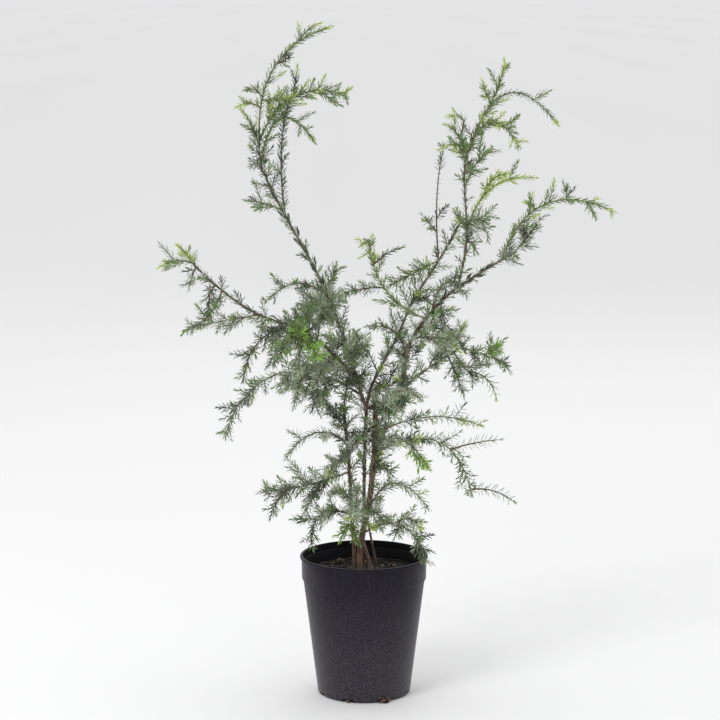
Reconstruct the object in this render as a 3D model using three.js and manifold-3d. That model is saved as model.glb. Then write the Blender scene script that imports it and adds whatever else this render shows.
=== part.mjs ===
// A grey honey myrtle in its black nursery pot: pot, soil, stems, boughs and masses of foliage.
// Millimetres, +Z up. The origin is the middle of the pot's underside. X runs to the right of
// the plant's front and Y runs away from the front.

import * as THREE from 'three';
import { mergeVertices } from 'three/addons/utils/BufferGeometryUtils.js';
import Module from 'manifold-3d';

const wasm = await Module();
wasm.setup();

// The nursery pot, of three litres
const POT_HEIGHT = 181;
const RIM_RADIUS = 82.5;
const BASE_RADIUS = 60;
const POT_WALL = 1.6;
const POT_FLOOR = 3;
const COLLAR_HEIGHT = 31;
const COLLAR_STEP = 1.4;
const COLLAR_RADIUS = 80.6;
const WALL_INSET = 1;
const LIP_HEIGHT = 4;
const LIP_ROUND = 1.2;
const LEDGE_DEPTH = 9;
const LEDGE_STEP = 1.2;
const BASE_CHAMFER = 3;
const POT_SEGMENTS = 44;

// Drain slots through the bottom corner of the pot
const SLOT_COUNT = 8;
const SLOT_WIDTH = 15;
const SLOT_HEIGHT = 4.5;
const SLOT_DEPTH = 9;
const SLOT_TURN = THREE.MathUtils.degToRad(-65);

// The potting mix
const SOIL_TOP = POT_HEIGHT - 22;
const SOIL_FLAT_RADIUS = 24;
const SOIL_LUMP = 1.6;
const SOIL_RINGS = 3;
const SOIL_SEGMENTS = 32;

// Clearances between neighbouring pieces
const SEAT_GAP = 0.35;
const SMALLEST_DETAIL = 0.08;
const LIMB_CLEARANCE = 1.2;
const SPACE_CLEARANCE = 1.6;
const TWIG_CLEARANCE = 2.4;

// The trunk
const GROUND = SOIL_TOP + SEAT_GAP;
const TRUNK_SIDES = 8;
const TRUNK_STEP = 14;
const FLARE_WIDTH = 2.6;
const FLARE_FALL = 8;
const FLARE_LEG = { foot: [13, -5, 150], mid: [4, -4, 180], top: [-2, -2, 200], thick: [3.2, 2.4] };

// Limbs other than the trunk
const LIMB_SIDES = 6;
const LIMB_STEP = 22;

// Twigs and leaves, each leaf standing for a small spray of the real needle-like ones
const STEM_THICK = [1.6, 1.1];
const TWIG_THICK = [1.2, 0.9];
const STEM_STEP = 28;
const TWIG_SHARE = 950;
const TWIG_OPENING = THREE.MathUtils.degToRad(52);
const TWIG_LIFT = 0.18;
const BARE_SHARE = 0.16;
const LEAF_SHARE = 1.05;
const LEAF_LENGTHS = [19, 30];
const LEAF_BREADTH = 0.26;
const LEAF_KEEL = 0.09;
const LEAF_BROADEST = 0.42;
const LEAF_ROOT = 0.5;
const LEAF_SPACING = 12;
const LEAF_OPENING = THREE.MathUtils.degToRad(46);
const FACE_TURN = (2 * Math.PI) / 3;
const GOLDEN_TURN = Math.PI * (3 - Math.sqrt(5));
const UP = new THREE.Vector3(0, 0, 1);

// Colours
const TRUNK_COLOUR = 0x8f7a66;
const BOUGH_COLOUR = 0x5e4436;
const LEAF_COLOUR = 0x74886f;

// Each limb starts on another's centre line, at a share of its length, or on the soil.
// thick holds its radius at either end.
const LIMBS = [
  { name: 'trunk', foot: [-3, 0], through: [[-4, -2, 195], [7, 0, 253], [13, 0, 315]],
    tip: [15, 0, 375], thick: [4.0, 3.1] },
  { name: 'left_stem', foot: [-11, 7], through: [[-15, 8, 220], [-19, 6, 295]],
    tip: [-26, 0, 370], thick: [2.6, 1.8] },
  { name: 'bare_stick', foot: [17, 12], through: [[12, 12, 185]],
    tip: [5, 8, 221], thick: [1.7, 1.3] },
  { name: 'tall_right_bough', on: 'trunk', at: 0.3,
    through: [[0, 9, 260], [2, 11, 345], [9, 12, 397], [42, 38, 458], [64, 54, 505], [96, 69, 553]],
    tip: [126, 84, 604], thick: [2.3, 1.1] },
  { name: 'right_bough', on: 'trunk', at: 1,
    through: [[46, -10, 396], [57, -30, 459], [88, -48, 508], [122, -68, 541]],
    tip: [182, -96, 582], thick: [2.8, 1.1] },
  { name: 'tall_left_bough', on: 'trunk', at: 1,
    through: [[0, -21, 384], [-24, 6, 458], [-59, 42, 538], [-103, 63, 616], [-131, 72, 675]],
    tip: [-135, 75, 720], thick: [2.5, 1.0] },
  { name: 'leader', on: 'right_bough', at: 0.71, through: [[127, -60, 596], [124, -51, 681]],
    tip: [140, -45, 735], thick: [1.4, 1.0] },
  { name: 'right_side_bough', on: 'right_bough', at: 0.13, through: [[78, 30, 416]],
    tip: [126, 82, 438], thick: [1.5, 1.0] },
  { name: 'left_bough', on: 'tall_left_bough', at: 0.16,
    through: [[-67, -68, 477], [-135, -90, 508], [-183, -105, 545]], tip: [-209, -112, 572],
    thick: [1.9, 1.1] },
  { name: 'low_left_bough', on: 'tall_left_bough', at: 0.1, through: [[-44, 30, 406]],
    tip: [-106, 75, 407], thick: [1.5, 1.0] },
];

// The foliage masses, by the limb that each one's stem starts on. A stem leaves at a share of the
// limb's length. Its tip is at a straight length from there, at a bearing from X and a rise above
// the level, both in degrees, and its middle stands above that straight line by arch. Twigs and
// leaves fill the space within about spread of the stem.
const MASSES = {
  tall_left_bough: [
    { name: 'left_crest', at: 1, length: 172, bearing: -22, rise: 52, arch: 34, spread: 12 },
    { name: 'left_crest_wing', at: 0.94, length: 66, bearing: -139, rise: 60, arch: 6, spread: 14 },
    { name: 'left_crest_arm', at: 0.97, length: 133, bearing: 17, rise: 25, arch: 32, spread: 25 },
    { name: 'left_crest_low_arm', at: 0.91, length: 86, bearing: 33, rise: 11, arch: 47, spread: 15 },
    { name: 'left_leader_tuft', at: 0.9, length: 49, bearing: 87, rise: -2, arch: 3, spread: 12 },
    { name: 'left_tuft', at: 0.74, length: 55, bearing: -167, rise: 15, arch: 3, spread: 15 },
    { name: 'left_twin_shoot', at: 0.72, length: 152, bearing: -74, rise: 80, arch: 34, spread: 13 },
    { name: 'left_over_shoot', at: 0.43, length: 100, bearing: -143, rise: -1, arch: 22, spread: 13 },
    { name: 'left_dense_back', at: 0.418, length: 124, bearing: 97, rise: -5, arch: -6, spread: 27 },
    { name: 'left_dense_upper', at: 0.388, length: 122, bearing: -115, rise: -36, arch: 42, spread: 27 },
    { name: 'left_dense_rear', at: 0.152, length: 203, bearing: 116, rise: -13, arch: 28, spread: 18 },
  ],
  left_bough: [
    { name: 'left_dense_front', at: 0.355, length: 128, bearing: -108, rise: -7, arch: 18, spread: 24 },
    { name: 'left_hanging_arc', at: 0.44, length: 103, bearing: -142, rise: -38, arch: 25, spread: 16 },
    { name: 'left_under_shoot', at: 0.62, length: 94, bearing: -165, rise: -8, arch: 0, spread: 17 },
    { name: 'far_left_shoot', at: 1, length: 45, bearing: -172, rise: -10, arch: 7, spread: 13 },
  ],
  low_left_bough: [
    { name: 'low_left_end', at: 1, length: 133, bearing: 153, rise: -48, arch: 18, spread: 20 },
    { name: 'low_left_under', at: 0.698, length: 102, bearing: 86, rise: -35, arch: 18, spread: 37 },
  ],
  left_stem: [
    { name: 'left_stem_head', at: 1, length: 156, bearing: -76, rise: 40, arch: 23, spread: 23 },
    { name: 'lower_left_shoot', at: 0.8, length: 110, bearing: -137, rise: -6, arch: 25, spread: 12 },
    { name: 'hind_left_shoot', at: 0.62, length: 142, bearing: 149, rise: -17, arch: -5, spread: 24 },
    { name: 'foot_left_shoot', at: 0.354, length: 67, bearing: -161, rise: -35, arch: 27, spread: 21 },
    { name: 'heart_low_front', at: 0.45, length: 125, bearing: -86, rise: 21, arch: -31, spread: 19 },
  ],
  trunk: [
    { name: 'heart_front', at: 1, length: 221, bearing: -81, rise: 13, arch: -12, spread: 14 },
    { name: 'right_low_front', at: 0.92, length: 180, bearing: -71, rise: 17, arch: 24, spread: 12 },
    { name: 'right_low_back', at: 0.84, length: 170, bearing: 32, rise: -3, arch: 18, spread: 13 },
    { name: 'right_low_outer', at: 0.72, length: 147, bearing: 15, rise: -26, arch: 48, spread: 16 },
    { name: 'right_low_tuft', at: 0.56, length: 92, bearing: -33, rise: 15, arch: 49, spread: 12 },
    { name: 'right_low_arch', at: 0.34, length: 98, bearing: -31, rise: 11, arch: 41, spread: 15 },
    { name: 'rim_droop', at: 0.24, length: 100, bearing: -32, rise: -18, arch: 36, spread: 18 },
  ],
  tall_right_bough: [
    { name: 'heart_back', at: 0.252, length: 150, bearing: 76, rise: -1, arch: -3, spread: 12 },
    { name: 'tall_right_tuft', at: 0.439, length: 53, bearing: 44, rise: 0, arch: -8, spread: 22 },
    { name: 'tall_right_end', at: 1, length: 46, bearing: 28, rise: -23, arch: 1, spread: 22 },
    { name: 'right_thin_upright', at: 0.86, length: 155, bearing: 78, rise: 75, arch: 36, spread: 12 },
  ],
  right_bough: [
    { name: 'middle_sprig', at: 0.5, length: 124, bearing: 154, rise: 50, arch: -21, spread: 15 },
    { name: 'right_bough_end', at: 1, length: 62, bearing: 35, rise: 45, arch: -3, spread: 20 },
    { name: 'far_right_shoot', at: 0.94, length: 155, bearing: -12, rise: 23, arch: 44, spread: 15 },
    { name: 'right_front_upper', at: 0.386, length: 59, bearing: -51, rise: -1, arch: 6, spread: 23 },
    { name: 'right_front_lower', at: 0.548, length: 89, bearing: -61, rise: 16, arch: 29, spread: 15 },
  ],
  leader: [
    { name: 'right_crest', at: 1, length: 87, bearing: -29, rise: 65, arch: -5, spread: 12 },
    { name: 'right_crest_arch', at: 0.85, length: 131, bearing: 25, rise: 10, arch: 57, spread: 12 },
    { name: 'right_crest_near_arch', at: 0.84, length: 76, bearing: -36, rise: 3, arch: 35, spread: 16 },
    { name: 'right_crest_left_arm', at: 0.81, length: 63, bearing: -133, rise: 41, arch: 8, spread: 12 },
    { name: 'right_crest_tuft', at: 0.76, length: 54, bearing: -121, rise: 24, arch: 13, spread: 17 },
    { name: 'right_shoot', at: 0.36, length: 118, bearing: 26, rise: 30, arch: 26, spread: 12 },
    { name: 'right_crest_low_tuft', at: 0.6, length: 73, bearing: 44, rise: 42, arch: 9, spread: 19 },
  ],
  right_side_bough: [
    { name: 'right_side_upper', at: 0.594, length: 89, bearing: 61, rise: 0, arch: 28, spread: 13 },
    { name: 'right_side_under', at: 0.894, length: 52, bearing: -14, rise: -50, arch: -2, spread: 20 },
    { name: 'right_side_end', at: 1, length: 72, bearing: 24, rise: -21, arch: 2, spread: 22 },
  ],
};

// A closed solid from its corners and triangles, turned so that its faces point out
function solidFrom(corners, triangles) {
  const vertProperties = new Float32Array(corners.flatMap((corner) => corner.toArray()));
  let volume = 0;
  for (const [a, b, c] of triangles) {
    volume += corners[a].dot(new THREE.Vector3().crossVectors(corners[b], corners[c]));
  }
  const outward = volume < 0 ? triangles.map(([a, b, c]) => [a, c, b]) : triangles;
  const triVerts = new Uint32Array(outward.flat());
  return new wasm.Manifold(new wasm.Mesh({ numProp: 3, vertProperties, triVerts }));
}

function solidFromGeometry(geometry) {
  const bare = geometry.clone();
  bare.deleteAttribute('normal');
  bare.deleteAttribute('uv');
  const merged = mergeVertices(bare, 1e-3);
  const place = merged.getAttribute('position');
  const corners = [];
  for (let i = 0; i < place.count; i += 1) {
    corners.push(new THREE.Vector3().fromBufferAttribute(place, i));
  }
  const index = merged.getIndex();
  const triangles = [];
  for (let i = 0; i < index.count; i += 3) {
    const [a, b, c] = [index.getX(i), index.getX(i + 1), index.getX(i + 2)];
    if (a !== b && b !== c && c !== a) {
      triangles.push([a, b, c]);
    }
  }
  return solidFrom(corners, triangles);
}

// The largest body of a solid: loose scraps and sealed hollows are dropped
function largestBody(solid) {
  const bodies = solid.decompose();
  return bodies.reduce((best, body) => (body.volume() > best.volume() ? body : best));
}

function meshFrom(solid, name, colour, roughness) {
  const body = largestBody(solid.simplify(SMALLEST_DETAIL));
  const { vertProperties, triVerts } = body.getMesh();
  const geometry = new THREE.BufferGeometry();
  geometry.setAttribute('position', new THREE.BufferAttribute(new Float32Array(vertProperties), 3));
  geometry.setIndex(new THREE.BufferAttribute(new Uint32Array(triVerts), 1));
  geometry.computeVertexNormals();
  const material = new THREE.MeshStandardMaterial({ color: colour, roughness, metalness: 0 });
  const mesh = new THREE.Mesh(geometry, material);
  mesh.name = name;
  return mesh;
}

function seededDraw(seed) {
  let state = seed;
  return () => {
    state = (state * 48271) % 2147483647;
    return state / 2147483647;
  };
}

// A level direction square to a heading
function squareTo(heading) {
  const side = new THREE.Vector3().crossVectors(heading, UP);
  if (side.length() < 0.05) {
    side.set(1, 0, 0);
  }
  return side.addScaledVector(heading, -side.dot(heading)).normalize();
}

// A direction that leans out from a heading, turned round it from a given side
function leanOut(heading, side, opening, turn) {
  const across = new THREE.Vector3().crossVectors(heading, side);
  const out = side.clone().multiplyScalar(Math.cos(turn)).addScaledVector(across, Math.sin(turn));
  return heading.clone().multiplyScalar(Math.cos(opening)).addScaledVector(out, Math.sin(opening));
}

// The heading at each of a path's points, with a side direction carried along without twist
function framesAlong(points) {
  const last = points.length - 1;
  let side = null;
  return points.map((point, i) => {
    const before = points[Math.max(i - 1, 0)];
    const after = points[Math.min(i + 1, last)];
    const heading = new THREE.Vector3().subVectors(after, before).normalize();
    side = side ? side.clone() : squareTo(heading);
    side.addScaledVector(heading, -side.dot(heading)).normalize();
    return { point, heading, side };
  });
}

// A closed tube through a path's points, with a radius at each
function tubeThrough(points, radii, sides) {
  const corners = [];
  const triangles = [];
  const last = points.length - 1;
  framesAlong(points).forEach(({ point, heading, side }, i) => {
    for (let k = 0; k < sides; k += 1) {
      const out = leanOut(heading, side, Math.PI / 2, (2 * Math.PI * k) / sides);
      corners.push(point.clone().addScaledVector(out, radii[i]));
    }
  });
  for (let i = 0; i < last; i += 1) {
    for (let k = 0; k < sides; k += 1) {
      const a = i * sides + k;
      const b = i * sides + ((k + 1) % sides);
      triangles.push([a, b, b + sides], [a, b + sides, a + sides]);
    }
  }
  const end = last * sides;
  for (let k = 1; k < sides - 1; k += 1) {
    triangles.push([0, k + 1, k], [end, end + k, end + k + 1]);
  }
  return solidFrom(corners, triangles);
}

function vector(place) {
  return new THREE.Vector3(...place);
}

function taper([thick, thin], share) {
  return thick + (thin - thick) * share;
}

function distanceToPath(point, path) {
  const segment = new THREE.Line3();
  const nearest = new THREE.Vector3();
  let distance = Infinity;
  for (let i = 1; i < path.length; i += 1) {
    segment.set(path[i - 1], path[i]);
    segment.closestPointToPoint(point, true, nearest);
    distance = Math.min(distance, nearest.distanceTo(point));
  }
  return distance;
}

// A path's points pushed on past both of its ends
function lengthened(points, extra) {
  const longer = points.map((point) => point.clone());
  const last = points.length - 1;
  const back = new THREE.Vector3().subVectors(points[0], points[1]).normalize();
  const on = new THREE.Vector3().subVectors(points[last], points[last - 1]).normalize();
  longer[0].addScaledVector(back, extra);
  longer[last].addScaledVector(on, extra);
  return longer;
}

function withClearance(limb) {
  const radii = limb.radii.map((radius) => radius + SEAT_GAP);
  return tubeThrough(lengthened(limb.points, SEAT_GAP), radii, limb.sides);
}

// A box that holds everything below the soil's surface
const belowGround = solidFromGeometry(new THREE.BoxGeometry(200, 200, 40).translate(0, 0, GROUND - 20));

// The pot is a turned shell: floor, tapering wall, collar with a stacking ledge, rolled lip
function makePot() {
  const collarFoot = POT_HEIGHT - COLLAR_HEIGHT;
  const lipFoot = POT_HEIGHT - LIP_HEIGHT;
  const ledge = POT_HEIGHT - LEDGE_DEPTH;
  const wallTop = COLLAR_RADIUS - COLLAR_STEP - WALL_INSET;
  const lipInner = COLLAR_RADIUS - POT_WALL;
  const profile = [
    [0, 0],
    [BASE_RADIUS - BASE_CHAMFER, 0],
    [BASE_RADIUS, BASE_CHAMFER],
    [wallTop, collarFoot - COLLAR_STEP],
    [wallTop + COLLAR_STEP, collarFoot],
    [COLLAR_RADIUS, lipFoot],
    [RIM_RADIUS, lipFoot],
    [RIM_RADIUS, POT_HEIGHT - LIP_ROUND],
    [RIM_RADIUS - LIP_ROUND, POT_HEIGHT],
    [lipInner, POT_HEIGHT],
    [lipInner, ledge],
    [lipInner - LEDGE_STEP, ledge - LEDGE_STEP],
    [wallTop - POT_WALL, collarFoot - COLLAR_STEP],
    [BASE_RADIUS - POT_WALL, POT_FLOOR],
    [0, POT_FLOOR],
  ];
  const outline = profile.map(([radius, height]) => new THREE.Vector2(radius, height));
  let pot = solidFromGeometry(new THREE.LatheGeometry(outline, POT_SEGMENTS).rotateX(Math.PI / 2));
  for (let i = 0; i < SLOT_COUNT; i += 1) {
    const slot = new THREE.BoxGeometry(SLOT_WIDTH, SLOT_DEPTH, 2 * SLOT_HEIGHT);
    slot.translate(0, -BASE_RADIUS, 0);
    slot.rotateZ(SLOT_TURN + (2 * Math.PI * i) / SLOT_COUNT);
    pot = pot.subtract(solidFromGeometry(slot));
  }
  return meshFrom(pot, 'pot', 0x2b2b30, 0.55);
}

// The soil fills the pot with a slightly lumpy top, flat where the stems come out
function makeSoil() {
  const draw = seededDraw(71);
  const gap = POT_WALL + 2 * SEAT_GAP;
  const floor = POT_FLOOR + SEAT_GAP;
  const wallTop = COLLAR_RADIUS - COLLAR_STEP - WALL_INSET - gap;
  const topRadius = wallTop + 0.5;
  const profile = [
    [0, floor],
    [BASE_RADIUS - gap, floor],
    [wallTop, POT_HEIGHT - COLLAR_HEIGHT - COLLAR_STEP],
    [topRadius, SOIL_TOP - SOIL_LUMP],
  ];
  for (let i = 0; i < SOIL_RINGS; i += 1) {
    profile.push([topRadius - 1 - (i * (topRadius - SOIL_FLAT_RADIUS)) / SOIL_RINGS, SOIL_TOP]);
  }
  profile.push([SOIL_FLAT_RADIUS, SOIL_TOP], [0, SOIL_TOP]);
  const outline = profile.map(([radius, height]) => new THREE.Vector2(radius, height));
  const lathe = new THREE.LatheGeometry(outline, SOIL_SEGMENTS).rotateX(Math.PI / 2);
  lathe.deleteAttribute('normal');
  lathe.deleteAttribute('uv');
  const soil = mergeVertices(lathe, 1e-3);
  const place = soil.getAttribute('position');
  for (let i = 0; i < place.count; i += 1) {
    const radius = Math.hypot(place.getX(i), place.getY(i));
    if (place.getZ(i) > SOIL_TOP - 0.1 && radius > SOIL_FLAT_RADIUS + 1) {
      place.setZ(i, SOIL_TOP + SOIL_LUMP * (2 * draw() - 1));
    }
  }
  return meshFrom(solidFromGeometry(soil), 'soil', 0x2e2620, 0.95);
}

// Works out where a limb runs, from the limb that it starts on
function layLimb(limb, laid) {
  const parent = limb.on ? laid.get(limb.on) : null;
  const start = parent ? parent.curve.getPointAt(limb.at) : new THREE.Vector3(...limb.foot, GROUND - 4);
  const curve = new THREE.CatmullRomCurve3([start, ...limb.through.map(vector), vector(limb.tip)]);
  curve.curveType = 'catmullrom';
  const isTrunk = limb.name === 'trunk';
  const step = isTrunk ? TRUNK_STEP : LIMB_STEP;
  const count = Math.max(3, Math.round(curve.getLength() / step));
  const points = curve.getSpacedPoints(count);
  const radii = points.map((point, i) => {
    const flare = isTrunk ? FLARE_WIDTH * Math.exp((GROUND - point.z) / FLARE_FALL) : 0;
    return taper(limb.thick, i / count) + Math.min(flare, FLARE_WIDTH);
  });
  const sides = isTrunk ? TRUNK_SIDES : LIMB_SIDES;
  laid.set(limb.name, { ...limb, curve, points, radii, sides });
}

// The second leg that the trunk spreads into the soil on
function makeFlareLeg() {
  const leg = [FLARE_LEG.foot, FLARE_LEG.mid, FLARE_LEG.top].map(vector);
  const points = new THREE.CatmullRomCurve3(leg).getSpacedPoints(4);
  const radii = points.map((point, i) => taper(FLARE_LEG.thick, i / 4));
  return tubeThrough(points, radii, LIMB_SIDES);
}

// A limb stands clear of every limb laid before it, and is cut flat where it meets the soil
function makeLimb(limb, earlier) {
  let solid = tubeThrough(limb.points, limb.radii, limb.sides);
  if (limb.name === 'trunk') {
    solid = solid.add(makeFlareLeg());
  }
  for (const other of earlier) {
    solid = solid.subtract(withClearance(other));
    if (other.name === 'trunk') {
      solid = solid.subtract(makeFlareLeg());
    }
  }
  solid = largestBody(solid.subtract(belowGround));
  const colour = limb.foot ? TRUNK_COLOUR : BOUGH_COLOUR;
  return meshFrom(solid, limb.name, colour, 0.8);
}

function headingTo(bearing, rise) {
  const turn = THREE.MathUtils.degToRad(bearing);
  const lift = THREE.MathUtils.degToRad(rise);
  return new THREE.Vector3(Math.cos(turn) * Math.cos(lift), Math.sin(turn) * Math.cos(lift), Math.sin(lift));
}

// Lays a mass's stem as an arched curve from its limb to its tip. The end leaf takes up the last
// of the length.
function layMass(mass, limb) {
  const start = limb.curve.getPointAt(mass.at);
  const heading = headingTo(mass.bearing, mass.rise);
  const over = new THREE.Vector3().crossVectors(squareTo(heading), heading);
  const tip = start.clone().addScaledVector(heading, mass.length);
  const bend = start.clone().lerp(tip, 0.5).addScaledVector(over, 2 * mass.arch);
  const curve = new THREE.QuadraticBezierCurve3(start, bend, tip);
  const leaf = THREE.MathUtils.clamp(mass.spread * LEAF_SHARE, ...LEAF_LENGTHS);
  const length = curve.getLength() - leaf;
  const reach = length / curve.getLength();
  const count = Math.max(3, Math.round(length / STEM_STEP));
  const points = [];
  for (let i = 0; i <= count; i += 1) {
    points.push(curve.getPointAt((reach * i) / count));
  }
  return { ...mass, curve, leaf, length, reach, points };
}

// Whether a point of a mass is in that mass's own space, clear of limbs, soil and pot
function isFree(point, mass, plan, clearance) {
  const own = distanceToPath(point, mass.points);
  const reach = Math.hypot(point.x, point.y);
  if (point.z < SOIL_TOP + 6 || (point.z < POT_HEIGHT + 4 && reach < RIM_RADIUS + 3)) {
    return false;
  }
  const nearLimb = plan.limbs.some(
    (limb) => distanceToPath(point, limb.points) < limb.radii[1] + LIMB_CLEARANCE,
  );
  const nearMass = plan.masses.some(
    (other) => other !== mass && distanceToPath(point, other.points) < own + clearance,
  );
  return !nearLimb && !nearMass;
}

// A leaf is a keeled blade of six faces, with its root sunk behind the middle of its twig.
// It is left out where it would leave its mass's space.
function growLeaf(root, aim, roll, mass, plan) {
  const length = mass.leaf;
  const edge = leanOut(aim, squareTo(aim), Math.PI / 2, roll);
  const keel = new THREE.Vector3().crossVectors(aim, edge);
  const broadest = root.clone().addScaledVector(aim, length * LEAF_BROADEST);
  const half = (length * LEAF_BREADTH) / 2;
  const foot = root.clone().addScaledVector(aim, -LEAF_ROOT);
  const tip = root.clone().addScaledVector(aim, length);
  const left = broadest.clone().addScaledVector(edge, half);
  const right = broadest.clone().addScaledVector(edge, -half);
  const ridge = broadest.clone().addScaledVector(keel, length * LEAF_KEEL);
  const tested = [tip, left, right, ridge, left.clone().lerp(tip, 0.5), right.clone().lerp(tip, 0.5)];
  if (!tested.every((point) => isFree(point, mass, plan, SPACE_CLEARANCE))) {
    return [];
  }
  const triangles = [[0, 2, 3], [0, 3, 4], [0, 4, 2], [1, 3, 2], [1, 4, 3], [1, 2, 4]];
  return [solidFrom([foot, tip, left, right, ridge], triangles)];
}

// Leaves along a straight stretch of three-sided twig, on its faces in turn, with one at its end
function growLeaves(start, end, side, mass, plan, draw, hasEndLeaf) {
  const heading = new THREE.Vector3().subVectors(end, start);
  const count = Math.max(1, Math.round(heading.length() / LEAF_SPACING));
  const step = heading.length() / count;
  heading.normalize();
  const leaves = [];
  let face = Math.floor(3 * draw());
  for (let i = 0; i < count; i += 1) {
    const root = start.clone().addScaledVector(heading, (i + 0.6) * step);
    const aim = leanOut(heading, side, LEAF_OPENING, FACE_TURN * (face + 0.5));
    leaves.push(...growLeaf(root, aim, draw() * Math.PI, mass, plan));
    face += 1;
  }
  if (hasEndLeaf) {
    const root = end.clone().addScaledVector(heading, -LEAF_ROOT);
    leaves.push(...growLeaf(root, heading, draw() * Math.PI, mass, plan));
  }
  return leaves;
}

// A mass is its stem, with twigs at even steps, each turned on by the golden angle, and leaves.
// A twig that would leave the mass's space is left out.
function growMass(mass, seed, plan) {
  const twigDraw = seededDraw(seed);
  const leafDraw = seededDraw(seed + 1000);
  const count = mass.points.length - 1;
  const radii = mass.points.map((point, i) => taper(STEM_THICK, i / count));
  const pieces = [tubeThrough(mass.points, radii, 3)];
  const frames = framesAlong(mass.points);
  for (let i = 0; i < count; i += 1) {
    const [start, end] = [mass.points[i], mass.points[i + 1]];
    pieces.push(...growLeaves(start, end, frames[i].side, mass, plan, leafDraw, i === count - 1));
  }
  const twigs = Math.max(2, Math.round((mass.length * mass.spread) / TWIG_SHARE));
  let turn = twigDraw() * 2 * Math.PI;
  for (let i = 0; i < twigs; i += 1) {
    const share = mass.reach * (BARE_SHARE + ((1 - BARE_SHARE) * (i + 0.5)) / twigs);
    const root = mass.curve.getPointAt(share);
    turn += GOLDEN_TURN;
    const heading = mass.curve.getTangentAt(share);
    const aim = leanOut(heading, squareTo(heading), TWIG_OPENING, turn);
    aim.addScaledVector(UP, TWIG_LIFT).normalize();
    const length = mass.spread * (1.3 - 0.8 * share) * (0.85 + 0.3 * twigDraw());
    const end = root.clone().addScaledVector(aim, length);
    const tested = [0.4, 0.7, 1].map((part) => root.clone().lerp(end, part));
    if (tested.every((point) => isFree(point, mass, plan, TWIG_CLEARANCE))) {
      pieces.push(tubeThrough([root, end], TWIG_THICK, 3));
      pieces.push(...growLeaves(root, end, squareTo(aim), mass, plan, leafDraw, true));
    }
  }
  let solid = wasm.Manifold.union(pieces);
  for (const limb of plan.limbs) {
    solid = solid.subtract(withClearance(limb));
  }
  return meshFrom(solid, mass.name, LEAF_COLOUR, 0.85);
}

const plant = new THREE.Group();
plant.add(makePot(), makeSoil());

const laid = new Map();
LIMBS.forEach((limb) => layLimb(limb, laid));
const limbs = [...laid.values()];
limbs.forEach((limb, i) => plant.add(makeLimb(limb, limbs.slice(0, i))));

const masses = Object.entries(MASSES).flatMap(
  ([limb, grown]) => grown.map((mass) => layMass(mass, laid.get(limb))),
);
const plan = { limbs, masses };
masses.forEach((mass, i) => plant.add(growMass(mass, 101 + 17 * i, plan)));

export default plant;
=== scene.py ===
# A grey honey myrtle in its black nursery pot, with bark, needle-like leaves and potting mix.
# Tables and growth are in millimetres and degrees, and meshes in metres. +Z is up, X runs to the
# right of the plant's front, and Y runs away from the front.

import math
import random
from collections import namedtuple

import bpy
import numpy as np
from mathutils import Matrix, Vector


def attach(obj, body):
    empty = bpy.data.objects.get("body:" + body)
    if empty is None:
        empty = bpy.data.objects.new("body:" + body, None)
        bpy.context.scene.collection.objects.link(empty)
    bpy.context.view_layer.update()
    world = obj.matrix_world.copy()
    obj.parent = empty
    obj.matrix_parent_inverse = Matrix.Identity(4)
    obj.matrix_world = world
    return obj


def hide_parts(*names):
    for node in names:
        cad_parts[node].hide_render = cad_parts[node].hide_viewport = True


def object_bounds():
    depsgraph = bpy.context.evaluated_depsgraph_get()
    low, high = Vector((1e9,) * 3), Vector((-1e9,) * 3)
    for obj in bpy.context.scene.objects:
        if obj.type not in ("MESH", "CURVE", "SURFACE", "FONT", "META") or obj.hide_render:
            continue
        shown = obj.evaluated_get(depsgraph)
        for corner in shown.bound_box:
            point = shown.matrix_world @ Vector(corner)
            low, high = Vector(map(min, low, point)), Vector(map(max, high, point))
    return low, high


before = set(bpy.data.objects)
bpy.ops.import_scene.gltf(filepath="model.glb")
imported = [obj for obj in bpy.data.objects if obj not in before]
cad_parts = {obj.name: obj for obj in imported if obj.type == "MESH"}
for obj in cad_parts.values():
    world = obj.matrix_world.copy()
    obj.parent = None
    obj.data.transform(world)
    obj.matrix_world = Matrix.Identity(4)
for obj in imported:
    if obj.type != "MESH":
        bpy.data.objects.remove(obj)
cad_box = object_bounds()

MM = 0.001

# Camera, from the photograph's frame
IMAGE_SIZE = 720
SENSOR_WIDTH = 36
FOCAL_PIXELS = 2386
CAMERA_PLACE = (-0.0052, -3.0, 0.910)
CAMERA_PITCH = 9.0

# Floor and light, in metres and watts: each lamp's place, breadth and power, and the point that all
# of them face. The sky's strength rises from the front to the back, between two values of Y.
FLOOR_REACH = 250
LAMPS = {
    "key": ((-1.7, -2.2, 2.7), 1.5, 50),
    "fill": ((1.2, -2.7, 0.55), 1.6, 15),
    "back": ((0.6, 2.4, 2.4), 2.0, 10),
}
LAMP_AIM = (0, 0, 0.4)
SKY_COLOUR = (0.955, 0.955, 0.96, 1)
SKY_STRENGTHS = (0.35, 1.30)
SKY_FADE = (-0.9, 0.3)

# The nursery pot, of three litres
POT_HEIGHT = 181
RIM_RADIUS = 82.5
BASE_RADIUS = 60
POT_WALL = 1.6
POT_FLOOR = 3
COLLAR_HEIGHT = 31
COLLAR_STEP = 1.4
COLLAR_RADIUS = 80.6
WALL_TOP_RADIUS = COLLAR_RADIUS - COLLAR_STEP - 1
LIP_HEIGHT = 4
LIP_ROUND = 1.5
LEDGE_DEPTH = 9
LEDGE_STEP = 1.2
BASE_ROUND = 3
POT_SEGMENTS = 176
SHARP_ANGLE = 35
SLOT_COUNT = 8
SLOT_SIZE = (15, 9, 9)
SLOT_ROUND = 2
SLOT_TURN = -65

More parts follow.
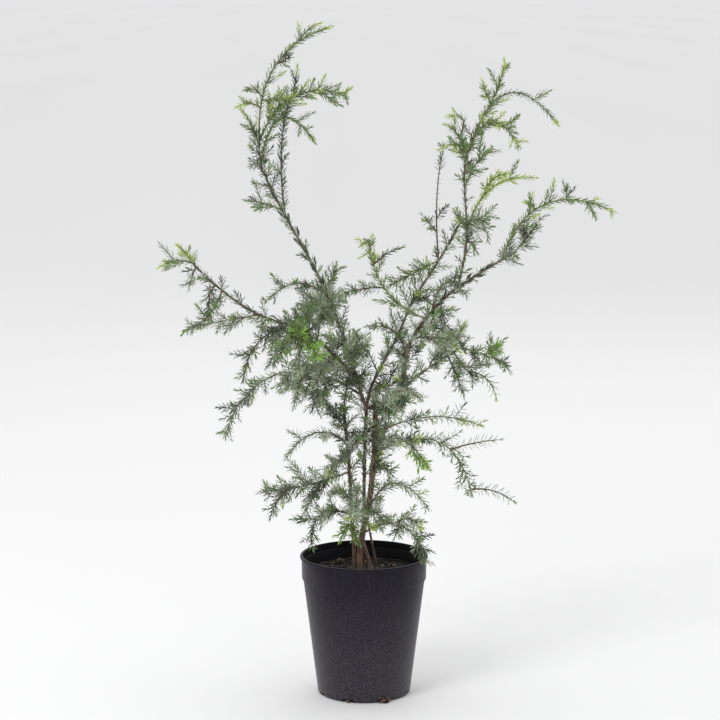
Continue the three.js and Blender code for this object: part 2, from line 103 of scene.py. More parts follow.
# The potting mix, its chips, and how many crumbs fill each slot: more where the mix spills out
SOIL_TOP = POT_HEIGHT - 22
SOIL_GAP = 0.4
SOIL_LUMP = 1.6
SOIL_RINGS = 46
SOIL_SEGMENTS = 132
CHIP_COUNT = 620
CHIP_REACH = 75.5
CHIP_SIZES = (1.8, 6.5)
PALE_BIT_COUNT = 6
PALE_BIT_SIZES = (1.6, 3.0)
TAN_HEAPS = ((-30, 54), (37, 27))
HEAP_CHIPS = 7
HEAP_CHIP_SIZES = (2.4, 4.4)
SPILLS = {2: 52, 4: 40}
SPILL_REACH = 3.6
FEW_CRUMBS = 4
CRUMB_SIZES = (1.8, 4.2)
SLOT_ROOTS = 5
ROOT_RADII = (0.42, 0.2)
LEAST_RISE = 0.1
GROUND = SOIL_TOP + 0.35

# Trunk, stems and boughs: the limb that each one leaves and its share of length there, or the
# place on the mix, then the knots of its line, and its radius at its start and end
Limb = namedtuple("Limb", "on at knots thick")
LIMBS = {
    "trunk": Limb(None, (-3, 0), [(-4, -2, 195), (7, 0, 253), (13, 0, 315), (15, 0, 375)], (4.0, 3.1)),
    "left_stem": Limb(None, (-11, 7), [(-15, 8, 220), (-19, 6, 295), (-26, 0, 370)], (2.6, 1.8)),
    "bare_stick": Limb(None, (17, 12), [(12, 12, 185), (5, 8, 221)], (1.7, 1.3)),
    "tall_right_bough": Limb("trunk", 0.3, [
        (0, 9, 260), (2, 11, 345), (9, 12, 397), (42, 38, 458), (64, 54, 505), (96, 69, 553),
        (126, 84, 604)], (2.3, 1.1)),
    "right_bough": Limb("trunk", 1, [
        (46, -10, 396), (57, -30, 459), (88, -48, 508), (122, -68, 541), (182, -96, 582)], (2.8, 1.1)),
    "tall_left_bough": Limb("trunk", 1, [
        (0, -21, 384), (-24, 6, 458), (-59, 42, 538), (-103, 63, 616), (-131, 72, 675),
        (-135, 75, 720)], (2.5, 1.0)),
    "leader": Limb("right_bough", 0.71, [(127, -60, 596), (124, -51, 681), (140, -45, 735)], (1.4, 1.0)),
    "right_side_bough": Limb("right_bough", 0.13, [(78, 30, 416), (126, 82, 438)], (1.5, 1.0)),
    "left_bough": Limb("tall_left_bough", 0.16, [
        (-67, -68, 477), (-135, -90, 508), (-183, -105, 545), (-209, -112, 572)], (1.9, 1.1)),
    "low_left_bough": Limb("tall_left_bough", 0.1, [(-44, 30, 406), (-106, 75, 407)], (1.5, 1.0)),
}
FLARE_LEG = [(13, -5, 150), (4, -4, 180), (-2, -2, 200)]
FLARE_LEG_THICK = (3.2, 2.4)
FLARE_WIDTH = 2.6
FLARE_FALL = 8
FORK_SWELL = 0.35
FORK_FALL = 7
KNUCKLE_SWELL = 0.14
KNUCKLE_STEP = 26
BARK_STEP = 2.2
PEEL_STRIPS = {"trunk": 64, "left_stem": 26}
PEEL_STATIONS = 8
PEEL_LENGTHS = (6, 22)
PEEL_WIDTHS = (0.5, 1.3)
PEEL_LIFTS = (0.2, 1.6)
PEEL_THICK = 0.16

# Foliage masses, by the limb that each one's stem starts on: the share of the limb's length, the
# straight length to the tip, its bearing and rise, the arch of its middle, how far it spreads, and
# its look: a palette, after the words bright (for its tips), comb or thin (for its whorls)
Growth = namedtuple("Growth", "at length bearing rise arch spread look", defaults=["grey"])
MASSES = {
    "tall_left_bough": {
        "left_crest": (1, 172, -22, 52, 34, 12, "bright green"),
        "left_crest_wing": (0.94, 66, -139, 60, 6, 14, "bright green"),
        "left_crest_arm": (0.97, 133, 17, 25, 32, 25, "bright green"),
        "left_crest_low_arm": (0.91, 86, 33, 11, 47, 15, "green"),
        "left_leader_tuft": (0.9, 49, 87, -2, 3, 12, "dark"),
        "left_tuft": (0.74, 55, -167, 15, 3, 15, "green"),
        "left_twin_shoot": (0.72, 152, -74, 80, 34, 13),
        "left_over_shoot": (0.43, 100, -143, -1, 22, 13),
        "left_dense_back": (0.418, 124, 97, -5, -6, 27, "pale"),
        "left_dense_upper": (0.388, 122, -115, -36, 42, 27, "pale"),
        "left_dense_rear": (0.152, 203, 116, -13, 28, 18, "pale"),
    },
    "left_bough": {
        "left_dense_front": (0.355, 128, -108, -7, 18, 24, "dark"),
        "left_hanging_arc": (0.44, 103, -142, -38, 25, 16),
        "left_under_shoot": (0.62, 94, -165, -8, 0, 17),
        "far_left_shoot": (1, 45, -172, -10, 7, 13, "bright green"),
    },
    "low_left_bough": {
        "low_left_end": (1, 133, 153, -48, 18, 20),
        "low_left_under": (0.698, 102, 86, -35, 18, 37),
    },
    "left_stem": {
        "left_stem_head": (1, 156, -76, 40, 23, 23),
        "lower_left_shoot": (0.8, 110, -137, -6, 25, 12),
        "hind_left_shoot": (0.62, 142, 149, -17, -5, 24, "pale"),
        "foot_left_shoot": (0.354, 67, -161, -35, 27, 21),
        "heart_low_front": (0.45, 125, -86, 21, -31, 19, "pale"),
    },
    "trunk": {
        "heart_front": (1, 221, -81, 13, -12, 14, "pale"),
        "right_low_front": (0.92, 180, -71, 17, 24, 12),
        "right_low_back": (0.84, 170, 32, -3, 18, 13, "bright comb grey"),
        "right_low_outer": (0.72, 147, 15, -26, 48, 16, "comb grey"),
        "right_low_tuft": (0.56, 92, -33, 15, 49, 12, "bright grey"),
        "right_low_arch": (0.34, 98, -31, 11, 41, 15),
        "rim_droop": (0.24, 100, -32, -18, 36, 18, "pale"),
    },
    "tall_right_bough": {
        "heart_back": (0.252, 150, 76, -1, -3, 12),
        "tall_right_tuft": (0.439, 53, 44, 0, -8, 22, "dark"),
        "tall_right_end": (1, 46, 28, -23, 1, 22),
        "right_thin_upright": (0.86, 155, 78, 75, 36, 12, "thin grey"),
    },
    "right_bough": {
        "middle_sprig": (0.5, 124, 154, 50, -21, 15, "green"),
        "right_bough_end": (1, 62, 35, 45, -3, 20),
        "far_right_shoot": (0.94, 155, -12, 23, 44, 15, "bright green"),
        "right_front_upper": (0.386, 59, -51, -1, 6, 23, "pale"),
        "right_front_lower": (0.548, 89, -61, 16, 29, 15),
    },
    "leader": {
        "right_crest": (1, 87, -29, 65, -5, 12, "bright green"),
        "right_crest_arch": (0.85, 131, 25, 10, 57, 12, "fresh"),
        "right_crest_near_arch": (0.84, 76, -36, 3, 35, 16, "bright green"),
        "right_crest_left_arm": (0.81, 63, -133, 41, 8, 12, "fresh"),
        "right_crest_tuft": (0.76, 54, -121, 24, 13, 17, "bright green"),
        "right_shoot": (0.36, 118, 26, 30, 26, 12, "fresh"),
        "right_crest_low_tuft": (0.6, 73, 44, 42, 9, 19, "green"),
    },
    "right_side_bough": {
        "right_side_upper": (0.594, 89, 61, 0, 28, 13, "pale"),
        "right_side_under": (0.894, 52, -14, -50, -2, 20),
        "right_side_end": (1, 72, 24, -21, 2, 22),
    },
}

# Small shoots that only the dressed plant has, by the limb or mass stem that each one starts on,
# with the same fields
SHOOTS = {
    "middle_sprig": [
        (0.76, 20, -150, 38, 12, 0, "fresh"), (0.76, 42, -17, 33, 3, 0, "green"),
        (0.9, 13, 144, 38, 10, 8, "fresh"), (0.52, 54, -165, -7, 3, 10),
    ],
    "tall_right_bough": [(0.86, 73, -164, -25, 1, 14, "green"), (0.7, 33, -48, 17, 7, 13, "dark")],
    "right_bough": [(0.22, 85, -146, 50, 25, 10), (0.6, 36, -62, -64, 0, 14, "dark")],
    "right_side_end": [(0.52, 30, -51, 30, -1, 13, "vivid"), (0.74, 27, 22, -38, 3, 8)],
    "right_side_bough": [
        (0.8, 54, -40, -62, 1, 12), (0.5, 43, -48, 35, 7, 14, "pale"), (0.68, 49, -65, 57, 7, 15),
    ],
    "right_side_under": [(0.6, 49, -24, -37, 10, 0, "comb fresh")],
    "right_side_upper": [(0.38, 34, 28, 36, -5, 16, "pale")],
    "left_bough": [
        (0.98, 30, 167, 48, 1, 8, "fresh"), (0.98, 26, -124, -62, 1, 10),
        (0.86, 34, -116, -67, 9, 11), (0.82, 65, -155, -45, -8, 6), (0.5, 35, -123, -62, 5, 14),
        (0.16, 49, -131, -36, 6, 16, "pale"), (0.58, 21, -115, -50, 3, 12),
    ],
    "left_crest": [
        (0.72, 33, -19, 41, 3, 0, "fresh"), (0.5, 20, -26, 25, -2, 8),
        (0.24, 24, -153, 23, 5, 6, "green"), (0.16, 27, -172, 8, 5, 6, "bright green"),
        (0.22, 32, -18, 5, -2, 14, "green"),
    ],
    "right_crest": [(0.38, 28, -143, 62, -1, 5, "green"), (0.82, 12, 33, 54, 1, 7, "fresh")],
    "right_crest_left_arm": [(0.42, 30, 142, 57, 16, 0, "fresh")],
    "leader": [
        (0.3, 19, -36, -43, 1, 9, "green"), (0.38, 27, -28, 13, 5, 16, "dark"),
        (0.36, 29, -147, 51, -1, 9, "green"),
    ],
    "right_thin_upright": [(0.24, 28, -162, 48, 0, 4, "thin grey")],
    "right_shoot": [(0.36, 41, -28, 43, 7, 4, "fresh")],
    "far_right_shoot": [
        (0.42, 20, -127, 52, -3, 8, "bright green"), (0.64, 18, -91, 63, 3, 9, "green"),
    ],
    "right_bough_end": [(0.32, 24, -90, 65, 6, 13)],
    "right_low_outer": [
        (0.6, 64, -13, 14, 2, 0, "comb grey"), (0.94, 57, -19, -10, 6, 0, "comb grey"),
    ],
    "right_low_tuft": [(0.7, 37, -33, -46, -4, 10, "vivid")],
    "trunk": [
        (0.86, 58, -126, -20, 8, 20, "pale"), (0.76, 50, -56, 14, 7, 16, "pale"),
        (0.62, 43, -56, 4, 8, 12), (0.36, 49, -64, 0, 8, 16, "pale"),
        (0.96, 74, -44, 31, 8, 19, "pale"),
    ],
    "left_stem": [
        (0.72, 53, -120, -17, 4, 15, "pale"), (0.44, 48, -127, 20, 7, 13),
        (0.3, 39, -113, -18, 5, 8, "vivid"), (0.3, 50, -84, -15, 1, 8, "green"),
        (0.88, 55, -123, 42, 1, 14),
    ],
    "rim_droop": [
        (0.44, 33, -25, -7, 10, 15, "pale"), (0.7, 22, -55, -49, 4, 14, "pale"),
        (0.5, 20, -122, -33, 3, 12, "pale"),
    ],
    "hind_left_shoot": [(0.34, 47, -147, -57, -1, 12), (0.68, 44, -154, -51, 5, 8)],
    "foot_left_shoot": [(0.2, 26, -148, -6, 8, 12)],
    "tall_left_bough": [
        (0.46, 33, 33, 57, -3, 12, "dark"), (0.38, 42, -121, -17, 8, 15),
        (0.24, 31, -134, 11, 9, 12, "dark"), (0.22, 42, -61, 49, 3, 14, "pale"),
    ],
    "low_left_bough": [
        (0.5, 40, -101, -56, 5, 15, "pale"), (0.74, 37, -121, -55, 8, 14, "pale"),
        (0.9, 27, -136, -41, 1, 12),
    ],
    "right_front_upper": [(0.58, 41, -27, -16, 7, 12), (0.28, 29, 31, 38, 4, 12, "pale")],
    "left_dense_front": [(0.24, 56, -95, 6, 0, 12, "vivid"), (0.24, 62, -69, -22, -3, 13, "lime")],
    "right_low_front": [(0.56, 24, -75, -32, -1, 12)],
    "left_dense_upper": [(0.62, 38, -53, 58, 4, 14)],
}

# Twigs: the solids' own, and finer ones between them and on them. Lengths are multiples of a
# growth's spread at its foot and at its tip, and slacks are the limits of a random factor. The
# fine steps are the distances between fine twigs, each for masses that spread up to a limit.
SPRAY_SHARE = 1.05
SPRAY_LENGTHS = (19, 30)
STEM_STEP = 28
TWIG_SHARE = 950
TWIG_LENGTHS = (1.3, 0.5)
TWIG_SLACK = (0.85, 1.15)
FINE_LENGTHS = np.array([1.25, 0.4])
FINE_SLACK = (0.7, 1.15)
SHOOT_LENGTHS = np.array([1.25, 0.75])
SHOOT_SLACK = (0.75, 1.15)
STRETCH_SLACK = (0.6, 1.2)
SIDE_SLACK = (0.5, 0.8)
TWIG_OPENING = math.radians(52)
TWIG_LIFT = 0.18
TWIG_CLEARANCE = 2.4
LIMB_CLEARANCE = 1.2
BARE_SHARE = 0.16
GOLDEN_TURN = math.pi * (3 - math.sqrt(5))
SPRAY_CARRIED = 0.62
FINE_STEPS = ((12, 60), (15, 18), (23, 8), (99, 4.2))
FINE_END = 0.94
SIDE_STEP = 21
SIDE_START = 8
SIDE_END = 0.86
SIDE_OPENING = math.radians(44)
SHOOT_STEP = 6
STEM_THICK = (1.25, 0.55)
TWIG_THICK = (0.62, 0.36)
TWIG_SIDES = 5
TWIG_PART = 7
STEM_CUT = 8
SPRAY_SWAY = 0.09
SIDE_SWAY = 0.08
UP = np.array([0.0, 0.0, 1.0])

# Bare shares at the foot of a twig, a side twig, a shoot and a bud
TWIG_BARE = 0.08
SIDE_BARE = 0.12
SHOOT_BARE = 0.1
BUD_BARE = 0.2

# Seeds of the masses, and of all that is added to them
MASS_SEED = 101
MASS_SEED_STEP = 17
SHOOT_SEED = 77

# Room kept over the mix, over the lip and beside the pot's wall
RIM_MIDDLE = 80
TWIG_ROOM = (4, 3, 5)
LEAF_ROOM = (3, 1, 4)
BOX_ROOM = 1

# Leaves, in whorls of three. Their breadths go by whether their kind is young
LEAF_LENGTH = 10.5
LEAF_BREADTHS = {False: 0.135, True: 0.176}
LEAF_KEEL = 0.055
LEAF_CURL = 0.10
LEAF_STATIONS = ((0.30, 0.96), (0.74, 0.88))
LEAF_TRIANGLES = np.array([
    (0, 2, 1), (0, 3, 2), (0, 1, 3), (1, 2, 5), (1, 5, 4), (2, 3, 6), (2, 6, 5), (3, 1, 4), (3, 4, 6),
    (7, 4, 5), (7, 5, 6), (7, 6, 4)])
WHORL_LEAVES = 3
WHORL_TURN = 2 * math.pi / WHORL_LEAVES
Whorls = namedtuple("Whorls", "step old_opening young_opening size")
FULL_WHORLS = Whorls(3.0, math.radians(62), math.radians(42), 1.0)
CREST_WHORLS = Whorls(3.4, math.radians(50), math.radians(34), 0.92)
COMB_WHORLS = Whorls(4.3, math.radians(76), math.radians(62), 1.12)
THIN_WHORLS = Whorls(7, math.radians(80), math.radians(62), 0.5)
BUD_WHORLS = Whorls(2.4, math.radians(22), math.radians(14), 0.62)
END_OPENING = math.radians(17)
OLD_LEAF_OPENING = math.radians(38)
OLD_LEAF_STEP = 4.5
TIP_SIZE = 0.8
LEAST_TIP_SIZE = 0.78

# How loosely leaves stand: the swing of their turns, openings and lengths, and a twist of flats
Stance = namedtuple("Stance", "swing opening length twist")
TWIG_STANCE = Stance(0.35, (-0.16, 0.16), (0.82, 1.12), 0.25)
LIMB_STANCE = Stance(0.3, (-0.25, 0.1), (0.7, 1), 0)

# Stretches of limb with leaves and short sprays of their own: the shares of the limb's length
# between which they stand, the sprays' length, and the distance from one to the next
STRETCHES = {
    "trunk": [(0.3, 0.62, 24, 13), (0.62, 1.0, 26, 8)],
    "left_stem": [(0.3, 0.6, 24, 11), (0.6, 1.0, 28, 7)],
    "tall_right_bough": [(0.12, 0.35, 24, 9), (0.35, 0.78, 28, 7), (0.78, 1.0, 20, 9)],
    "right_bough": [(0.1, 0.56, 26, 8), (0.56, 0.92, 9, 16), (0.92, 1.0, 24, 4)],
    "tall_left_bough": [(0.08, 0.46, 30, 6), (0.46, 0.76, 9, 16), (0.76, 1.0, 18, 8)],
    "leader": [(0.04, 0.22, 10, 12), (0.22, 0.38, 16, 8), (0.38, 0.62, 8, 18), (0.62, 1.0, 14, 9)],
    "left_bough": [(0.12, 0.5, 28, 7), (0.5, 1.0, 14, 13)],
    "right_side_bough": [(0.15, 1.0, 20, 12)],
    "low_left_bough": [(0.1, 0.6, 26, 8), (0.6, 1.0, 18, 9)],
}

# Bare stretches of limb that bear only tight buds of old leaves: the shares of the limb's length
# between which they stand
BUD_STRETCHES = {"tall_left_bough": (0.44, 0.78), "right_bough": (0.5, 0.86)}
BUD_STEP = 8
BUD_LENGTHS = (9, 13)
BUD_LEAN = math.radians(21)

# Each palette's kinds of spray, with their shares, and the kinds' colours
SPRAY_KINDS = {
    "grey": {"deep": 0.28, "grey": 0.42, "pale": 0.22, "green": 0.08},
    "pale": {"pale": 0.44, "grey": 0.42, "deep": 0.14},
    "dark": {"deep": 0.62, "green": 0.18, "grey": 0.20},
    "green": {"green": 0.50, "grey": 0.20, "deep": 0.18, "lime": 0.12},
    "fresh": {"green": 0.60, "lime": 0.28, "grey": 0.12},
    "lime": {"lime": 0.5, "vivid": 0.5},
    "vivid": {"vivid": 0.85, "green": 0.15},
}
YOUNG_KINDS = {"green", "lime", "vivid"}
LEAF_COLOURS = {
    "deep": (0.048, 0.082, 0.042),
    "grey": (0.210, 0.268, 0.166),
    "pale": (0.400, 0.465, 0.335),
    "green": (0.168, 0.262, 0.088),
    "lime": (0.410, 0.520, 0.135),
    "vivid": (0.250, 0.450, 0.070),
}

# Young tips: the share that is lime, by whether the growth is bright, the share of the others that
# is green, and the length of a tip, by whether it is lime
LIME_TIP_SHARE = {False: 0.03, True: 0.55}
GREEN_TIP_SHARE = 0.35
TIP_LENGTH = {False: 9, True: 13}


# Geometry


def unit(vector):
    return vector / np.linalg.norm(vector, axis=-1, keepdims=True)


class Path:
    """A line through points, read at shares of its length."""

    def __init__(self, points):
        self.points = np.array(points, float)
        steps = np.linalg.norm(np.diff(self.points, axis=0), axis=1)
        self.along = np.concatenate([[0.0], np.cumsum(steps)])
        self.length = self.along[-1]

    def at(self, share):
        along = np.asarray(share, float) * self.length
        return np.stack([np.interp(along, self.along, axis) for axis in self.points.T], axis=-1)

    def heading(self, share, part=0.004):
        return unit(self.at(min(share + part, 1)) - self.at(max(share - part, 0)))


def smooth_path(knots):
    """A Catmull-Rom curve through its knots."""
    knots = np.array(knots, float)
    knots = np.vstack([2 * knots[0] - knots[1], knots, 2 * knots[-1] - knots[-2]])
    t = np.linspace(0, 1, 24, endpoint=False)[:, None]
    spans = []
    for before, start, end, after in zip(knots, knots[1:], knots[2:], knots[3:]):
        leave = (end - before) / 2
        arrive = (after - start) / 2
        spans.append((2 * t**3 - 3 * t**2 + 1) * start + (t**3 - 2 * t**2 + t) * leave
                     + (3 * t**2 - 2 * t**3) * end + (t**3 - t**2) * arrive)
    return Path(np.vstack(spans + [knots[-2]]))


def arched_path(start, bend, tip, count=24):
    t = np.linspace(0, 1, count + 1)[:, None]
    return Path((1 - t)**2 * start + 2 * t * (1 - t) * bend + t**2 * tip)


def square_to(heading):
    """A level direction square to a heading."""
    side = np.cross(heading, UP)
    if np.linalg.norm(side) < 0.05:
        side = np.array([1.0, 0.0, 0.0])
    return unit(side - heading * (side @ heading))


def lean_out(heading, side, opening, turn):
    """A direction that leans out from a heading, turned round it from a given side."""
    out = side * math.cos(turn) + np.cross(heading, side) * math.sin(turn)
    return heading * math.cos(opening) + out * math.sin(opening)


def rotated(a, b, turn):
    """Two coordinates turned about the third one's axis."""
    return a * math.cos(turn) - b * math.sin(turn), a * math.sin(turn) + b * math.cos(turn)


def taper(ends, share):
    return ends[0] + (ends[1] - ends[0]) * share


def even_turns(count):
    return np.arange(count) * 2 * math.pi / count


def ring_faces(rings, count):
    """The faces of stacked rings, whose two end corners come last: end triangles, and walls."""
    first = np.arange(count)
    after = (first + 1) % count
    last = (rings - 1) * count
    low = np.full(count, rings * count)
    ends = np.vstack([np.stack([low, after, first], axis=1),
                      np.stack([low + 1, last + first, last + after], axis=1)])
    wall = np.stack([first, after, after + count, first + count], axis=1)
    return ends, (wall + count * np.arange(rings - 1)[:, None, None]).reshape(-1, 4)


def halved(walls):
    """The two triangles of each four-sided face."""
    return np.vstack([walls[:, [0, 1, 2]], walls[:, [0, 2, 3]]])


def sides_along(points):
    """Headings along a line, with side directions carried along without twist."""
    headings = unit(np.gradient(points, axis=0))
    sides = [square_to(headings[0])]
    for heading in headings[1:]:
        sides.append(unit(sides[-1] - heading * (sides[-1] @ heading)))
    return headings, np.array(sides)


def tube(points, radii, count, relief=0.0):
    """A closed tube of count sides. relief raises or sinks each corner by a share of its radius."""
    headings, sides = sides_along(points)
    turns = even_turns(count)[:, None]
    out = sides[:, None] * np.cos(turns) + np.cross(headings, sides)[:, None] * np.sin(turns)
    reach = np.broadcast_to(np.asarray(radii, float)[:, None] * (1 + relief), out.shape[:2])
    rings = points[:, None] + out * reach[:, :, None]
    ends, walls = ring_faces(len(points), count)
    return np.vstack([rings.reshape(-1, 3), points[:1], points[-1:]]), np.vstack([ends, halved(walls)])


def put(name, data):
    """A new object in the scene."""
    thing = bpy.data.objects.new(name, data)
    bpy.context.scene.collection.objects.link(thing)
    return thing


def put_mesh(name, corners, faces):
    """A mesh object, from corners in millimetres."""
    mesh = bpy.data.meshes.new(name)
    mesh.from_pydata((np.asarray(corners) * MM).tolist(), [], faces)
    return put(name, mesh)


def make_piece(name, corners, faces, material, replaced=(), smooth=True):
    """A piece in one material that rides on the plant's one body and stands for some solids."""
    piece = put_mesh(name, corners, np.asarray(faces).tolist())
    piece.data.polygons.foreach_set("use_smooth", [smooth] * len(piece.data.polygons))
    piece.data.materials.append(material)
    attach(piece, "root")
    if replaced:
        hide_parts(*replaced)


class Solids:
    """Gathers closed shapes that become one piece."""

    def __init__(self):
        self.corners = []
        self.faces = []
        self.count = 0

    def add(self, corners, faces):
        self.corners.append(np.asarray(corners, float))
        self.faces.append(np.asarray(faces, int) + self.count)
        self.count += len(corners)

    def make(self, name, material, slot, replaced=(), smooth=True):
        make_piece(name, np.vstack(self.corners), np.vstack(self.faces), material, replaced, smooth)


# Materials

BLACK = (0, 0, 0)


class Nodes:
    """A node tree with helpers for adding nodes and filling their inputs."""

    def __init__(self, tree, place="Object"):
        self.tree = tree
        self.place = self.add("ShaderNodeTexCoord").outputs[place]

    def fill(self, node, inputs):
        """Joins or sets a node's inputs."""
        for key, value in inputs.items():
            if isinstance(value, bpy.types.NodeSocket):
                self.tree.links.new(value, node.inputs[key])
            else:
                node.inputs[key].default_value = value

    def add(self, kind, inputs=None, **settings):
        node = self.tree.nodes.new(kind)
        for key, value in settings.items():
            setattr(node, key, value)
        self.fill(node, inputs or {})
        return node

    def mapped(self, factor, ends, limits=(0, 1)):
        """A factor brought from its own limits to other ends."""
        inputs = {"Value": factor, "From Min": limits[0], "From Max": limits[1],
                  "To Min": ends[0], "To Max": ends[1]}
        return self.add("ShaderNodeMapRange", inputs).outputs["Result"]

    def axis(self, vector, name):
        return self.add("ShaderNodeSeparateXYZ", {0: vector}).outputs[name]


class Finish(Nodes):
    """A material with helpers for its patterns."""

    def __init__(self, name, roughness):
        self.material = bpy.data.materials.new(name)
        self.material.use_nodes = True
        super().__init__(self.material.node_tree)
        self.set(Roughness=roughness)

    def set(self, **inputs):
        """Sets or joins inputs of the shader, named with _ for spaces."""
        shader = self.tree.nodes["Principled BSDF"]
        self.fill(shader, {key.replace("_", " "): value for key, value in inputs.items()})

    def stretched(self, scale):
        return self.add("ShaderNodeMapping", {"Scale": scale, "Vector": self.place}).outputs["Vector"]

    def noise(self, scale, detail=4.0, place=None, roughness=0.55):
        inputs = {"Scale": scale, "Detail": detail, "Roughness": roughness,
                  "Vector": place or self.place}
        return self.add("ShaderNodeTexNoise", inputs).outputs["Fac"]

    def ramp(self, factor, *stops):
        node = self.add("ShaderNodeValToRGB", {"Fac": factor})
        elements = node.color_ramp.elements
        while len(elements) < len(stops):
            elements.new(0.5)
        for element, (position, colour) in zip(elements, stops):
            element.position = position
            element.color = (*colour, 1)
        return node.outputs["Color"]

    def mask(self, factor, low, high, most=1):
        """Black up to one value of a factor, rising to a grey or white at another."""
        return self.ramp(factor, (low, BLACK), (high, (most, most, most)))

    def mix(self, factor, under, over, **settings):
        over = (*over, 1) if isinstance(over, tuple) else over
        inputs = {0: factor, 6: under, 7: over}
        return self.add("ShaderNodeMix", inputs, data_type="RGBA", **settings).outputs[2]

    def times(self, one, other):
        return self.add("ShaderNodeMath", {0: one, 1: other}, operation="MULTIPLY").outputs[0]

    def rough(self, factor, low, high):
        self.set(Roughness=self.mapped(factor, (low, high)))

    def bump(self, height, distance, strength=1.0):
        inputs = {"Distance": distance, "Strength": strength, "Height": height}
        self.set(Normal=self.add("ShaderNodeBump", inputs).outputs["Normal"])


def leaf_finish(name, colour, roughness=0.5):
    """A matt leaf with faint mottling and a fine grain."""
    finish = Finish(name, roughness)
    mottle = finish.noise(240, 3)
    dark, light = (tuple(channel * factor for channel in colour) for factor in (0.78, 1.2))
    finish.set(Base_Color=finish.ramp(mottle, (0.3, dark), (0.7, light)))
    finish.rough(mottle, roughness - 0.08, roughness + 0.1)
    finish.bump(finish.noise(1400, 2), 0.0002, 0.4)
    return finish.material


def bark_finish(name, dark, mid, light, stretch):
    """Bark with long fibres, blotches and paler flakes."""
    finish = Finish(name, 0.8)
    fibre = finish.noise(1, 6, finish.stretched(stretch), 0.65)
    base = finish.ramp(fibre, (0.32, dark), (0.5, mid), (0.68, light))
    flake = finish.mask(finish.noise(55, 3), 0.5, 0.66)
    finish.set(Base_Color=finish.mix(flake, base, light))
    finish.rough(fibre, 0.65, 0.92)
    finish.bump(fibre, 0.0006, 0.8)
    return finish.material


def pot_finish():
    """Satin black moulded plastic: faint upright grain, dust specks, a dusty sheen, and a dust film with
    painted light.
    """
    finish = Finish("pot_plastic", 0.5)
    grain = finish.noise(1, 3, finish.stretched((520, 520, 14)), 0.6)
    cloud = finish.noise(24, 4)
    # Falls from the foot to the collar: it fades the shine, and it fades the dust film as painted light.
    low = finish.mapped(finish.axis(finish.place, "Z"), (1.0, 0.10), (0, POT_HEIGHT * MM))
    finish.set(Sheen_Weight=0.16, Sheen_Roughness=0.4, Sheen_Tint=(0.86, 0.82, 0.93, 1),
               Specular_IOR_Level=finish.times(low, 0.28))
    base = finish.ramp(grain, (0.3, (0.007, 0.0065, 0.010)), (0.7, (0.016, 0.0145, 0.021)))
    film = finish.mask(finish.noise(820, 2, None, 0.7), 0.46, 0.62, 0.95)
    # Dust film, lightest at the foot and fading up: dust, with painted floor bounce light low down and
    # painted shade at the collar.
    dust_film_with_painted_light = finish.mix(finish.times(film, low), base, (0.080, 0.073, 0.092))
    dusty = finish.mix(finish.mask(cloud, 0.45, 0.8, 0.2), dust_film_with_painted_light, (0.050, 0.046, 0.053))
    speck = finish.add("ShaderNodeTexVoronoi", {"Scale": 330, "Vector": finish.place})
    dots = finish.ramp(speck.outputs["Distance"], (0.05, (0.8, 0.8, 0.8)), (0.12, BLACK))
    chosen = finish.mask(finish.noise(90, 2), 0.56, 0.62)
    both = finish.mix(1, dots, chosen, blend_type="MULTIPLY")
    finish.set(Base_Color=finish.mix(both, dusty, (0.17, 0.15, 0.13)))
    finish.rough(cloud, 0.34, 0.56)
    finish.bump(grain, 0.0003, 0.25)
    return finish.material


def painted_shade_inside_finish():
    """The same plastic inside the pot, bare of dust and painted darker as painted shade."""
    finish = Finish("pot_inside", 0.6)
    grain = finish.noise(1, 3, finish.stretched((520, 520, 14)), 0.6)
    # Painted shade: about half as bright as the outside's plastic.
    base = finish.ramp(grain, (0.3, (0.003, 0.003, 0.004)), (0.7, (0.008, 0.007, 0.010)))
    finish.set(Base_Color=base, Specular_IOR_Level=0.12)
    finish.rough(grain, 0.5, 0.7)
    finish.bump(grain, 0.0003, 0.3)
    return finish.material


def crumb_finish(name, dark, light):
    """Crumbly potting mix and its chips."""
    finish = Finish(name, 0.95)
    crumb = finish.noise(420, 6, None, 0.7)
    finish.set(Base_Color=finish.ramp(crumb, (0.35, dark), (0.65, light)))
    finish.bump(crumb, 0.001, 0.9)
    return finish.material


def floor_finish():
    finish = Finish("floor_matt", 0.9)
    cloud = finish.noise(1, 2, finish.stretched((0.9, 0.06, 1)))
    finish.set(Base_Color=finish.ramp(cloud, (0.35, (0.775, 0.775, 0.78)), (0.7, (0.80, 0.80, 0.805))))
    return finish.material


# The pot


def arc(centre, radius, start, end, steps):
    """Points of a round stretch of a turned outline, as (radius, height)."""
    turns = np.radians(np.linspace(start, end, steps + 1))
    return [(centre[0] + radius * math.cos(t), centre[1] + radius * math.sin(t)) for t in turns]


def turned(profile, segments):
    """Corners, end triangles and walls of an outline turned about Z, whose ends lie on the axis."""
    turns = even_turns(segments)
    rings = [np.stack([r * np.cos(turns), r * np.sin(turns), np.full(segments, h)], axis=1)
             for r, h in profile[1:-1]]
    corners = np.vstack(rings + [[(0, 0, profile[0][1])], [(0, 0, profile[-1][1])]])
    return corners, *ring_faces(len(rings), segments)


def slot_blocks():
    """Blocks with rounded upper corners, laid across the pot's bottom corner."""
    width, depth, height = SLOT_SIZE
    side, upper = width / 2, height / 2
    outline = [(-side, -upper), (side, -upper)]
    outline += arc((side - SLOT_ROUND, upper - SLOT_ROUND), SLOT_ROUND, 0, 90, 4)
    outline += arc((-side + SLOT_ROUND, upper - SLOT_ROUND), SLOT_ROUND, 90, 180, 4)
    count = len(outline)
    corners, faces = [], []
    for turn in math.radians(SLOT_TURN) + even_turns(SLOT_COUNT):
        base = len(corners)
        for y in (-BASE_RADIUS - depth / 2, -BASE_RADIUS + depth / 2):
            corners += [(*rotated(x, y, turn), z) for x, z in outline]
        faces += [range(base, base + count), range(base + 2 * count - 1, base + count - 1, -1)]
        for k in range(count):
            a, b = base + k, base + (k + 1) % count
            faces.append((a, a + count, b + count, b))
    return put_mesh("slots", corners, faces)


